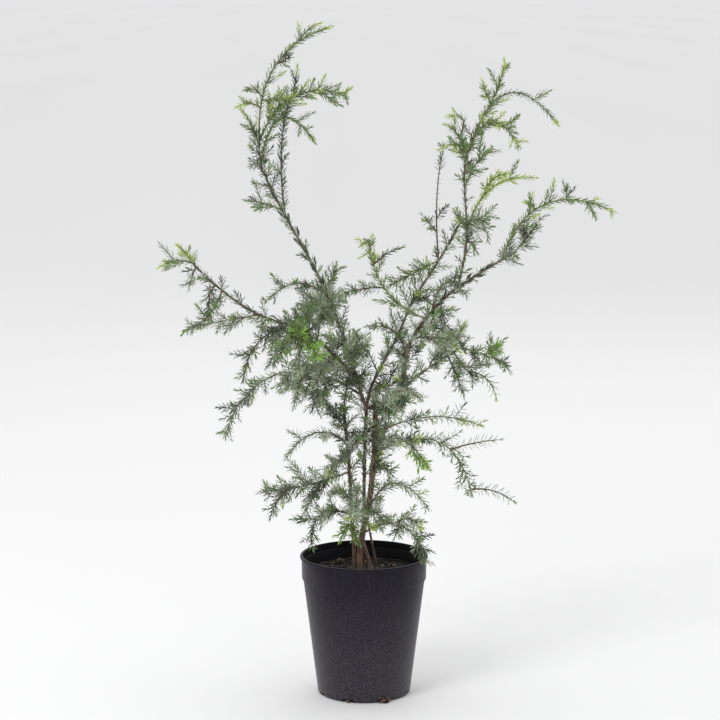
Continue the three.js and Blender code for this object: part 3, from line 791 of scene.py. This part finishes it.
def cut(piece, cutter):
    """Cuts closed shapes out of a piece."""
    modifier = piece.modifiers.new("cut", "BOOLEAN")
    modifier.operation = "DIFFERENCE"
    modifier.object = cutter
    modifier.solver = "EXACT"
    bpy.context.view_layer.update()
    evaluated = piece.evaluated_get(bpy.context.evaluated_depsgraph_get())
    mesh = bpy.data.meshes.new_from_object(evaluated)
    piece.modifiers.clear()
    piece.data = mesh
    bpy.data.objects.remove(cutter)


def pot_profile():
    """The outline of wall, collar and rolled lip, then of the inside with its stacking ledge."""
    step = POT_HEIGHT - COLLAR_HEIGHT
    ledge = POT_HEIGHT - LEDGE_DEPTH
    lip_inner = COLLAR_RADIUS - POT_WALL
    lip_foot = POT_HEIGHT - LIP_HEIGHT
    lip_middle = RIM_RADIUS - LIP_ROUND
    inside = BASE_RADIUS - POT_WALL
    return [
        (0, 0), (BASE_RADIUS - BASE_ROUND - 4, 0),
        *arc((BASE_RADIUS - BASE_ROUND, BASE_ROUND), BASE_ROUND, -90, -8, 5),
        (WALL_TOP_RADIUS - 0.12, step - COLLAR_STEP - 1),
        *arc((WALL_TOP_RADIUS + 1.2, step - COLLAR_STEP), 1.2, 180, 90, 4),
        (COLLAR_RADIUS - 0.5, step + 1.2), (COLLAR_RADIUS, lip_foot - 0.6),
        *arc((lip_middle, lip_foot + LIP_ROUND), LIP_ROUND, -90, 0, 4),
        *arc((lip_middle, POT_HEIGHT - LIP_ROUND), LIP_ROUND, 0, 90, 6),
        *arc((lip_inner + 0.8, POT_HEIGHT - 0.8), 0.8, 90, 180, 4),
        (lip_inner, ledge + 0.4), (lip_inner - 0.3, ledge),
        (lip_inner - LEDGE_STEP, ledge - LEDGE_STEP),
        (WALL_TOP_RADIUS - POT_WALL, step - COLLAR_STEP),
        (inside, POT_FLOOR + 2), (inside - 2, POT_FLOOR), (0, POT_FLOOR)]


def make_pot():
    """The turned shell with its drain slots, dusty outside, and bare inside with painted shade."""
    corners, ends, walls = turned(pot_profile(), POT_SEGMENTS)
    pot = put_mesh("pot_shell", corners, ends.tolist() + walls.tolist())
    cut(pot, slot_blocks())
    pot.data.materials.clear()
    pot.data.materials.append(pot_finish())
    pot.data.materials.append(painted_shade_inside_finish())
    # Inward faces below the lip take the inside's painted shade.
    for face in pot.data.polygons:
        inward = face.center.x * face.normal.x + face.center.y * face.normal.y < 0
        is_lip = face.center.z > (POT_HEIGHT - 1) * MM
        face.material_index = int(inward and not is_lip)
    pot.data.polygons.foreach_set("use_smooth", [True] * len(pot.data.polygons))
    pot.data.set_sharp_from_angle(angle=math.radians(SHARP_ANGLE))
    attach(pot, "root")
    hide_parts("pot")


# The potting mix


def soil_height(x, y):
    """The lie of the mix: low lumps, level where the stems come out."""
    lumps = (0.5 * np.sin(x / 7.1 + 1.3) * np.cos(y / 6.3) + 0.3 * np.sin(x / 2.9 - y / 3.7)
             + 0.2 * np.cos(x / 1.6 + y / 1.9 + 0.7))
    level = np.clip((np.hypot(x, y) - 16) / 20, 0.15, 1)
    return SOIL_TOP - 0.2 + SOIL_LUMP * lumps * level


def make_soil():
    """A turned body that fills the pot, with its top laid in lumps."""
    gap = POT_WALL + SOIL_GAP
    wall_top = WALL_TOP_RADIUS - gap
    foot = POT_FLOOR + SOIL_GAP
    profile = [(0, foot), (BASE_RADIUS - gap - 1, foot), (BASE_RADIUS - gap, POT_FLOOR + 3),
               (wall_top - 0.3, SOIL_TOP - 12)]
    for i in range(SOIL_RINGS + 1):
        profile.append(((wall_top + 0.4) * (1 - i / SOIL_RINGS), SOIL_TOP))
    corners, ends, walls = turned(profile, SOIL_SEGMENTS)
    top = corners[:, 2] == SOIL_TOP
    corners[top, 2] = soil_height(corners[top, 0], corners[top, 1])
    # Dark potting mix, painted darker still as painted shade under the foliage.
    mix = crumb_finish("potting_mix", (0.003, 0.002, 0.0016), (0.012, 0.009, 0.007))
    make_piece("potting_mix", corners, np.vstack([ends, halved(walls)]), mix, ["soil"])


CHIP_FACES = [(0, 2, 1), (1, 2, 3), (4, 5, 6), (5, 7, 6), (0, 1, 4), (1, 5, 4),
              (2, 6, 3), (3, 6, 7), (0, 4, 2), (2, 4, 6), (1, 3, 5), (3, 7, 5)]


def add_chip(solids, rng, place, size, flat):
    """A broken chip: a block with its corners pushed about, turned and tilted."""
    halves = (-0.5, 0.5)
    block = [(x + rng.uniform(-0.18, 0.18), 0.62 * y + rng.uniform(-0.16, 0.16),
              flat * (z + rng.uniform(-0.2, 0.2))) for x in halves for y in halves for z in halves]
    x, y, z = np.array(block).T * size
    turn, tilt = rng.uniform(0, 2 * math.pi), rng.uniform(-0.35, 0.35)
    y, z = rotated(y, z, tilt)
    x, y = rotated(x, y, turn)
    corners = np.stack([x, y, z], axis=1) + place
    corners[:, 2] += max(0, LEAST_RISE - corners[:, 2].min())
    solids.add(corners, CHIP_FACES)


def lay_top(rng, dark, tan, pale):
    """Chips and pale bits strewn over the mix, and two heaps of tan chips."""
    for i in range(CHIP_COUNT + PALE_BIT_COUNT):
        x, y = rotated(CHIP_REACH * math.sqrt(rng.random()), 0, rng.uniform(0, 2 * math.pi))
        is_pale = i >= CHIP_COUNT
        size = rng.uniform(*(PALE_BIT_SIZES if is_pale else CHIP_SIZES))
        solids = pale if is_pale else (tan if rng.random() < 0.05 else dark)
        add_chip(solids, rng, (x, y, soil_height(x, y) + 0.1 * size), size, 0.8 if is_pale else 0.34)
    for x, y in TAN_HEAPS:
        for i in range(HEAP_CHIPS):
            place = (x + rng.uniform(-6, 6), y + rng.uniform(-4, 4),
                     soil_height(x, y) + 0.3 + 0.45 * i)
            add_chip(tan, rng, place, rng.uniform(*HEAP_CHIP_SIZES), 0.4)


def fill_slots(rng, dark, tan, roots):
    """Crumbs and root ends in the drain slots. Where the mix spills, some lie just outside."""
    for i, turn in enumerate(math.radians(SLOT_TURN - 90) + even_turns(SLOT_COUNT)):
        for _ in range(SPILLS.get(i, FEW_CRUMBS)):
            off = turn + rng.uniform(-0.11, 0.11)
            reach = rng.uniform(57.2, 60.2)
            rise = rng.uniform(1.4, 4.2)
            if i in SPILLS and rng.random() < 0.6:
                out = SPILL_REACH * rng.random() ** 1.6
                reach = BASE_RADIUS + 0.8 + out
                rise = rng.uniform(1.3, 7.6 - 1.5 * out)
            solids = tan if rng.random() < 0.45 else dark
            add_chip(solids, rng, (*rotated(reach, 0, off), rise), rng.uniform(*CRUMB_SIZES), 0.6)
        for _ in range(SLOT_ROOTS):
            off = turn + rng.uniform(-0.1, 0.1)
            start = np.array([*rotated(BASE_RADIUS - 6, 0, off), rng.uniform(1.5, 3.2)])
            ahead = off + rng.uniform(-0.5, 0.5)
            end = start + np.array([*rotated(1, 0, ahead), 0]) * rng.uniform(3, 6.5)
            end[2] = rng.uniform(0.6, 2.6)
            bend = (start + end) / 2 + UP * rng.uniform(-0.5, 1.2)
            points = arched_path(start, bend, end, 5).points
            roots.add(*tube(points, np.linspace(*ROOT_RADII, len(points)), 5))


def make_chips():
    rng = random.Random(5)
    dark, tan, pale, roots = Solids(), Solids(), Solids(), Solids()
    lay_top(rng, dark, tan, pale)
    fill_slots(rng, dark, tan, roots)
    brown = crumb_finish("tan_chips", (0.09, 0.055, 0.032), (0.24, 0.16, 0.10))
    # Dark chips, painted darker still as painted shade, like the mix.
    black = crumb_finish("dark_chips", (0.004, 0.003, 0.002), (0.020, 0.014, 0.010))
    white = crumb_finish("pale_bits", (0.34, 0.32, 0.28), (0.55, 0.53, 0.48))
    dark.make("bark_chips", black, "soil", smooth=False)
    tan.make("tan_bark_chips", brown, "soil", smooth=False)
    pale.make("pale_bits", white, "soil", smooth=False)
    roots.make("slot_roots", brown, "soil")


# Trunk, stems and boughs


def lay_limbs():
    laid = {}
    for name, limb in LIMBS.items():
        start = laid[limb.on].at(limb.at) if limb.on else (*limb.at, GROUND - 4)
        laid[name] = smooth_path([start, *limb.knots])
    return laid


def limb_radii(name, path, share):
    """A limb's radii: its taper, the trunk's flare, and a swelling where it leaves another."""
    limb = LIMBS[name]
    radii = taper(limb.thick, share)
    if name == "trunk":
        radii = radii + FLARE_WIDTH * np.minimum(np.exp((GROUND - path.at(share)[:, 2]) / FLARE_FALL), 1)
    elif limb.on:
        radii = radii * (1 + FORK_SWELL * np.exp(-share * path.length / FORK_FALL))
    return radii


def bark_tube(path, share, radii, sides, depth, seed):
    """A tube with fibrous ridges that wander round it, no lower than the mix."""
    along, turns = (share * path.length)[:, None], even_turns(sides)
    wander = 1.8 * np.sin(along / 23 + seed)
    relief = depth * (np.sin(3 * turns + wander) + 0.8 * np.sin(7 * turns - along / 11 + 2 * wander)
                      + 0.6 * np.sin(12 * turns + along / 5 + seed)
                      + 0.5 * np.sin(along / 2.3 + 2 * turns))
    corners, faces = tube(path.at(share), radii, sides, relief)
    corners[:, 2] = np.maximum(corners[:, 2], GROUND - 1.5)
    return corners, faces


def make_bark(paths):
    stems, boughs = Solids(), Solids()
    for i, (name, path) in enumerate(paths.items()):
        share = np.linspace(0, 1, max(6, round(path.length / BARK_STEP)) + 1)
        radii = limb_radii(name, path, share)
        solids, sides, depth = stems, 18, 0.03
        if name == "trunk":
            sides, depth = 28, 0.045
        if LIMBS[name].on:
            off = (share * path.length) % KNUCKLE_STEP - KNUCKLE_STEP / 2
            radii = radii * (1 + KNUCKLE_SWELL * np.exp(-off**2 / 5))
            solids, sides = boughs, 14
        solids.add(*bark_tube(path, share, radii, sides, depth, i + 0.5))
    share = np.linspace(0, 1, 26)
    stems.add(*bark_tube(smooth_path(FLARE_LEG), share, taper(FLARE_LEG_THICK, share), 20, 0.05, 9))
    stem_bark = bark_finish("stem_bark", (0.036, 0.020, 0.015), (0.105, 0.062, 0.045),
                            (0.27, 0.18, 0.13), (700, 700, 60))
    bough_bark = bark_finish("bough_bark", (0.034, 0.022, 0.016), (0.090, 0.059, 0.041),
                             (0.19, 0.128, 0.088), (260, 260, 160))
    stems.make("stem_bark", stem_bark, "bark", [name for name in LIMBS if not LIMBS[name].on])
    boughs.make("bough_bark", bough_bark, "bough", [name for name in LIMBS if LIMBS[name].on])


def make_peel(paths):
    """Thin curling strips of bark that lift from the trunk and the left stem."""
    rng = random.Random(23)
    strips = Solids()
    walls = ring_faces(PEEL_STATIONS, 4)[1]
    last = 4 * (PEEL_STATIONS - 1)
    ends = [(0, 1, 2), (0, 2, 3), (last, last + 2, last + 1), (last, last + 3, last + 2)]
    faces = np.vstack([ends, halved(walls)[:, ::-1]])
    t = np.linspace(0, 1, PEEL_STATIONS)
    for name, number in PEEL_STRIPS.items():
        path = paths[name]
        for _ in range(number):
            start = rng.uniform(0.04, 0.9)
            length = rng.uniform(*PEEL_LENGTHS) / path.length
            turn, width = rng.uniform(0, 2 * math.pi), rng.uniform(*PEEL_WIDTHS)
            lift, up = rng.uniform(*PEEL_LIFTS), rng.choice((-1, 1))
            drift = rng.uniform(-0.25, 0.25)
            share = start + (np.clip(start + up * length, 0.02, 0.98) - start) * t
            headings, sides = sides_along(path.at(share))
            out = np.array([lean_out(heading, side, math.pi / 2, turn + drift * part)
                            for heading, side, part in zip(headings, sides, t)])
            reach = limb_radii(name, path, share) + 0.12 + lift * t**2
            middle = path.at(share) + out * reach[:, None]
            half = (width / 2 * np.sqrt(np.clip(1.02 - (2 * t - 1)**4, 0.02, 1)))[:, None]
            edge = np.cross(headings, out) * half
            skin = out * PEEL_THICK
            rows = [middle - edge, middle + edge, middle + edge - skin, middle - edge - skin]
            strips.add(np.stack(rows, axis=1).reshape(-1, 3), faces)
    tan = bark_finish("peel_bark", (0.20, 0.12, 0.065), (0.36, 0.24, 0.14), (0.50, 0.37, 0.24),
                      (600, 600, 80))
    strips.make("bark_peel", tan, "bark")


# Growth

Look = namedtuple("Look", "palette bright stem_whorls whorls")


def read_look(words):
    """A growth's palette, whether its tips are bright, and the whorls on its stem and twigs."""
    palette = words.split()[-1]
    usual = CREST_WHORLS if palette in ("green", "fresh") else FULL_WHORLS
    bright = "bright" in words or palette == "fresh"
    if "comb" in words:
        return Look(palette, bright, COMB_WHORLS, COMB_WHORLS)
    return Look(palette, bright, THIN_WHORLS if "thin" in words else usual, usual)


def lay_stem(growth, host):
    start = host.at(growth.at)
    turn, lift = math.radians(growth.bearing), math.radians(growth.rise)
    heading = np.array([*rotated(math.cos(lift), 0, turn), math.sin(lift)])
    over = np.cross(square_to(heading), heading)
    tip = start + heading * growth.length
    return arched_path(start, (start + tip) / 2 + over * 2 * growth.arch, tip)


def spray_length(mass):
    return min(max(mass.spread * SPRAY_SHARE, SPRAY_LENGTHS[0]), SPRAY_LENGTHS[1])


def stem_points(mass, stem):
    reach = 1 - spray_length(mass) / stem.length
    count = max(3, int(reach * stem.length / STEM_STEP + 0.5))
    return stem.at(np.linspace(0, reach, count + 1))


def twig_aim(stem, share, turn, lift=TWIG_LIFT, opening=TWIG_OPENING):
    heading = stem.heading(share)
    return unit(lean_out(heading, square_to(heading), opening, turn) + UP * lift)


def seeded_draw(seed):
    state = seed
    while True:
        state = state * 48271 % 2147483647
        yield state / 2147483647


class Lines:
    """Many lines held as spans, for the distance from a point to each line."""

    def __init__(self, lines):
        self.start = np.vstack([line[:-1] for line in lines])
        self.step = np.vstack([np.diff(line, axis=0) for line in lines])
        self.square = (self.step**2).sum(axis=1)
        self.first = np.cumsum([0] + [len(line) - 1 for line in lines[:-1]])

    def distances(self, point):
        off = point - self.start
        share = np.clip((off * self.step).sum(axis=1) / self.square, 0, 1)
        away = np.linalg.norm(off - self.step * share[:, None], axis=1)
        return np.minimum.reduceat(away, self.first)


class Plant:
    """The laid limbs and mass stems, with the twigs and leaves grown so far."""

    def __init__(self):
        self.paths = lay_limbs()
        self.masses = {}
        for limb, rows in MASSES.items():
            for name, row in rows.items():
                mass = Growth(*row)
                self.masses[name] = (mass, lay_stem(mass, self.paths[limb]))
        self.limb_lines = Lines([path.points for path in self.paths.values()])
        self.limb_thick = np.array([limb.thick[0] for limb in LIMBS.values()])
        self.stem_lines = Lines([stem_points(mass, stem) for mass, stem in self.masses.values()])
        self.twigs, self.young_twigs = Solids(), Solids()
        self.leaves = {kind: [] for kind in LEAF_COLOURS}
        self.low, self.high = np.array(cad_box[0]) / MM + BOX_ROOM, np.array(cad_box[1]) / MM - BOX_ROOM

    def has_room(self, point, over_mix, over_lip, beside_wall):
        """Whether a point is inside the solids' box and clear of the mix and the pot."""
        if (point <= self.low).any() or (point >= self.high).any():
            return False
        is_beside = abs(math.hypot(point[0], point[1]) - RIM_MIDDLE) > beside_wall
        return point[2] > SOIL_TOP + over_mix and (is_beside or point[2] > POT_HEIGHT + over_lip)

    def is_clear(self, point, margin=0.0):
        """Whether a twig may come to a point, as far as limbs, mix, pot and box go."""
        if not self.has_room(point, *TWIG_ROOM):
            return False
        return bool((self.limb_lines.distances(point) > self.limb_thick + margin).all())

    def is_own(self, point, number):
        """Whether a point lies in one mass's own space, as in the solids."""
        away = self.stem_lines.distances(point)
        others = np.delete(away, number)
        return self.is_clear(point, LIMB_CLEARANCE) and (others >= away[number] + TWIG_CLEARANCE).all()

    def add_whorl(self, path, share, turn, kind, opening, size, stance, lift=0.1):
        """Leaves round a path, rooted a lift out from its middle line."""
        heading = path.heading(share)
        side = square_to(heading)
        for k in range(WHORL_LEAVES):
            around = turn + WHORL_TURN * k + self.rng.uniform(-stance.swing, stance.swing)
            aim = lean_out(heading, side, opening + self.rng.uniform(*stance.opening), around)
            flat = unit(heading - aim * (aim @ heading) + stance.twist * side)
            flat = unit(flat - aim * (aim @ flat))
            root = path.at(share) + aim * lift
            length = size * self.rng.uniform(*stance.length)
            if self.has_room(root + aim * length, *LEAF_ROOM):
                self.leaves[kind].append((root, aim, flat, length))

    def add_twig(self, path, thick, kind, tip_kind, start, whorls):
        """A twig with whorls of leaves that close towards its tip, and a bud of leaves at its end."""
        share = np.linspace(0, 1, max(3, int(path.length / TWIG_PART)) + 1)
        twigs = self.young_twigs if kind in YOUNG_KINDS else self.twigs
        twigs.add(*tube(path.at(share), taper(thick, share), TWIG_SIDES))
        count = max(2, int(path.length * (1 - start) / whorls.step + 0.5))
        turn = self.rng.uniform(0, 2 * math.pi)
        for i in range(count + 1):
            share = start + (1 - start) * i / count
            near_end = (1 - share) * path.length < TIP_LENGTH[tip_kind == "lime"]
            opening = END_OPENING if i == count else taper(whorls[1:3], i / count)
            size = max(LEAST_TIP_SIZE, whorls.size * TIP_SIZE) if near_end else whorls.size
            turn += WHORL_TURN / 2
            leaf_kind = tip_kind if near_end else kind
            self.add_whorl(path, share, turn, leaf_kind, opening, LEAF_LENGTH * size, TWIG_STANCE)

    def tip_kind(self, kind, bright):
        if kind == "vivid":
            return kind
        if self.rng.random() < LIME_TIP_SHARE[bright]:
            return "lime"
        return "green" if self.rng.random() < GREEN_TIP_SHARE else kind

    def spray_kind(self, palette):
        kinds = SPRAY_KINDS[palette]
        return self.rng.choices(list(kinds), list(kinds.values()))[0]

    def grow_spray(self, root, aim, length, look):
        """A twig that sways a little, with finer twigs to either side in turn."""
        end = root + aim * length
        if not self.is_clear(end):
            return
        sway = unit(np.array([self.rng.uniform(low, 1) for low in (-1, -1, -0.4)]))
        path = arched_path(root, (root + end) / 2 + sway * length * SPRAY_SWAY, end, 10)
        kind = self.spray_kind(look.palette)
        self.add_twig(path, TWIG_THICK, kind, self.tip_kind(kind, look.bright), TWIG_BARE,
                      look.whorls)
        turn = self.rng.uniform(0, 2 * math.pi)
        for i in range(int((path.length - SIDE_START) / SIDE_STEP)):
            share = (SIDE_START + SIDE_STEP * (i + self.rng.uniform(0, 0.6))) / path.length
            if share > SIDE_END:
                continue
            turn += math.pi + self.rng.uniform(-0.5, 0.5)
            reach = path.length * (1 - share) * self.rng.uniform(*SIDE_SLACK) + 3
            start = path.at(share)
            tip = start + twig_aim(path, share, turn, 0, SIDE_OPENING) * reach
            if self.is_clear(tip):
                bend = (start + tip) / 2 + path.heading(share) * reach * SIDE_SWAY
                tip_kind = self.tip_kind(kind, look.bright)
                self.add_twig(arched_path(start, bend, tip, 6), TWIG_THICK, kind, tip_kind,
                              SIDE_BARE, look.whorls)

    def grow_row(self, stem, shares, turn, lengths, slack, look, lift=TWIG_LIFT, parts=()):
        """Sprays at shares of a stem, each turned on from the last, and clear at parts of their length."""
        for share in shares:
            turn += GOLDEN_TURN
            root, aim = stem.at(share), twig_aim(stem, share, turn, lift)
            length = taper(lengths, share) * self.rng.uniform(*slack)
            if all(self.is_clear(root + aim * length * part) for part in parts):
                self.grow_spray(root, aim, length, look)

    def grow_mass(self, number, mass, stem, seed):
        """The solids' twigs by the solids' rule, then finer ones between them and on them."""
        draw = seeded_draw(seed)
        self.rng = random.Random(seed)
        look = read_look(mass.look)
        spray = spray_length(mass)
        reach = 1 - spray / stem.length
        kind = "green" if look.palette == "green" else self.spray_kind(look.palette)
        tip_kind = "lime" if look.bright else self.tip_kind(kind, False)
        seen = Path(stem.at(np.linspace(0, 1 - STEM_CUT / stem.length, 25)))
        self.add_twig(seen, STEM_THICK, kind, tip_kind, BARE_SHARE / 2, look.stem_whorls)
        count = max(2, int(reach * stem.length * mass.spread / TWIG_SHARE + 0.5))
        turn = next(draw) * 2 * math.pi
        for i in range(count):
            share = reach * (BARE_SHARE + (1 - BARE_SHARE) * (i + 0.5) / count)
            turn += GOLDEN_TURN
            aim = twig_aim(stem, share, turn)
            length = mass.spread * taper(TWIG_LENGTHS, share) * taper(TWIG_SLACK, next(draw))
            root = stem.at(share)
            if all(self.is_own(root + aim * length * part, number) for part in (0.4, 0.7, 1)):
                self.grow_spray(root, aim, length + SPRAY_CARRIED * spray, look)
        fine_step = next(step for spread, step in FINE_STEPS if mass.spread <= spread)
        count = int(stem.length * (1 - BARE_SHARE) / fine_step)
        shares = (min(BARE_SHARE + (1 - BARE_SHARE) * (i + self.rng.random()) / count, FINE_END)
                  for i in range(count))
        self.grow_row(stem, shares, turn, mass.spread * FINE_LENGTHS, FINE_SLACK, look, parts=(0.5, 1))

    def grow_shoot(self, shoot, host):
        """A short twig with a bud of leaves at its end, and sprays all along it where it spreads."""
        stem = lay_stem(shoot, host)
        look = read_look(shoot.look)
        kind = self.spray_kind(look.palette)
        if not all(self.is_clear(stem.at(share)) for share in (0.6, 0.8, 1)):
            return
        tip_kind = self.tip_kind(kind, look.bright)
        self.add_twig(stem, STEM_THICK, kind, tip_kind, SHOOT_BARE, look.stem_whorls)
        if shoot.spread == 0:
            return
        turn = self.rng.uniform(0, 2 * math.pi)
        shares = (0.15 + 0.8 * (i + self.rng.random()) * SHOOT_STEP / stem.length
                  for i in range(int(stem.length / SHOOT_STEP)))
        self.grow_row(stem, shares, turn, shoot.spread * SHOOT_LENGTHS, SHOOT_SLACK, look)

    def dress(self, limb, start, end, spray, step):
        """Whorls of older leaves along a stretch of limb, and short sprays between them."""
        path = self.paths[limb]
        span = (end - start) * path.length
        count = int(span / OLD_LEAF_STEP)
        turn = self.rng.uniform(0, 2 * math.pi)
        for i in range(count):
            share = start + (end - start) * (i + self.rng.uniform(0, 0.6)) / count
            lift = taper(LIMBS[limb].thick, share) * 0.6
            kind = self.spray_kind("grey")
            turn += WHORL_TURN / 2
            self.add_whorl(path, share, turn, kind, OLD_LEAF_OPENING, LEAF_LENGTH, LIMB_STANCE, lift)
        count = int(span / step)
        shares = (start + (end - start) * (i + self.rng.uniform(0, 0.8)) / count for i in range(count))
        self.grow_row(path, shares, turn, (spray, spray), STRETCH_SLACK, read_look("grey"), 0)

    def add_buds(self, limb, start, end):
        """Short twigs along a bare limb, with old leaves folded tightly to them."""
        path = self.paths[limb]
        count = int((end - start) * path.length / BUD_STEP)
        for i in range(count):
            share = start + (end - start) * (i + self.rng.random()) / count
            aim = twig_aim(path, share, GOLDEN_TURN * (i + 1), 0, BUD_LEAN)
            root, length = path.at(share), self.rng.uniform(*BUD_LENGTHS)
            bend = root + aim * length * 0.5 + (aim - path.heading(share)) * 1.5
            kind = "deep" if self.rng.random() < 0.8 else "grey"
            bud = arched_path(root, bend, root + aim * length, 5)
            self.add_twig(bud, TWIG_THICK, kind, kind, BUD_BARE, BUD_WHORLS)

    def grow(self):
        for number, (mass, stem) in enumerate(self.masses.values()):
            self.grow_mass(number, mass, stem, MASS_SEED + MASS_SEED_STEP * number)
        self.rng = random.Random(SHOOT_SEED)
        hosts = {**self.paths, **{name: stem for name, (mass, stem) in self.masses.items()}}
        for host, rows in SHOOTS.items():
            for row in rows:
                self.grow_shoot(Growth(*row), hosts[host])
        for limb, rows in STRETCHES.items():
            for row in rows:
                self.dress(limb, *row)
        for limb, row in BUD_STRETCHES.items():
            self.add_buds(limb, *row)


def leaf_solids(leaves, breadth):
    """Keeled, pointed blades of twelve faces that curl a little towards their twig's tip."""
    roots, aims, flats = (np.array([leaf[i] for leaf in leaves]) for i in range(3))
    lengths = np.array([leaf[3] for leaf in leaves])[:, None]
    half = np.cross(aims, flats) * lengths * breadth / 2
    keel = flats * lengths * LEAF_KEEL
    rows = [roots - aims * 0.2]
    for share, width in LEAF_STATIONS:
        middle = roots + aims * lengths * share + flats * lengths * LEAF_CURL * share**2
        rows += [middle - half * width, middle - keel * width, middle + half * width]
    rows.append(roots + aims * lengths + flats * lengths * LEAF_CURL)
    corners = np.stack(rows, axis=1)
    firsts = corners.shape[1] * np.arange(len(leaves))
    return corners.reshape(-1, 3), (LEAF_TRIANGLES + firsts[:, None, None]).reshape(-1, 3)


def make_foliage(plant):
    masses = list(plant.masses)
    stretch = (300, 300, 300)
    woody = bark_finish("twig_bark", (0.055, 0.036, 0.023), (0.125, 0.083, 0.054),
                        (0.22, 0.155, 0.10), stretch)
    green = bark_finish("young_bark", (0.105, 0.098, 0.045), (0.19, 0.18, 0.085),
                        (0.28, 0.26, 0.14), stretch)
    plant.twigs.make("twigs", woody, "bough", masses)
    plant.young_twigs.make("young_twigs", green, "bough", masses)
    for kind, colour in LEAF_COLOURS.items():
        corners, faces = leaf_solids(plant.leaves[kind], LEAF_BREADTHS[kind in YOUNG_KINDS])
        finish = leaf_finish("leaf_" + kind, colour)
        make_piece("leaves_" + kind, corners, faces, finish, masses, smooth=False)


# Floor, light and camera


def make_floor():
    reach = FLOOR_REACH / MM
    corners = [(-reach, -reach, 0), (reach, -reach, 0), (reach, reach, 0), (-reach, reach, 0)]
    floor = put_mesh("floor", corners, [(0, 1, 2, 3)])
    floor.data.materials.append(floor_finish())


def add_light(name, place, size, power):
    """A round lamp that faces the middle of the plant."""
    light = bpy.data.lights.new(name, "AREA")
    light.shape = "DISK"
    light.size = size
    light.energy = power
    lamp = put(name, light)
    lamp.location = place
    toward = np.array(LAMP_AIM) - np.array(place)
    turn = math.atan2(toward[1], toward[0]) - math.pi / 2
    tilt = math.acos(-toward[2] / np.linalg.norm(toward))
    lamp.rotation_euler = (tilt, 0, turn)


def light_scene():
    world = bpy.data.worlds.new("studio")
    world.use_nodes = True
    sky = Nodes(world.node_tree, "Generated")
    strength = sky.mapped(sky.axis(sky.place, "Y"), SKY_STRENGTHS, SKY_FADE)
    sky.fill(world.node_tree.nodes["Background"], {"Color": SKY_COLOUR, "Strength": strength})
    bpy.context.scene.world = world
    bpy.context.scene.view_settings.view_transform = "Standard"
    for name, lamp in LAMPS.items():
        add_light(name, *lamp)


def add_camera():
    lens = bpy.data.cameras.new("camera")
    lens.sensor_width = SENSOR_WIDTH
    lens.lens = FOCAL_PIXELS * SENSOR_WIDTH / IMAGE_SIZE
    lens.clip_end = 600
    camera = put("camera", lens)
    camera.location = CAMERA_PLACE
    camera.rotation_euler = (math.radians(90 - CAMERA_PITCH), 0, 0)
    bpy.context.scene.camera = camera


add_camera()
light_scene()
make_floor()
make_pot()
make_soil()
make_chips()
plant = Plant()
make_bark(plant.paths)
make_peel(plant.paths)
plant.grow()
make_foliage(plant)
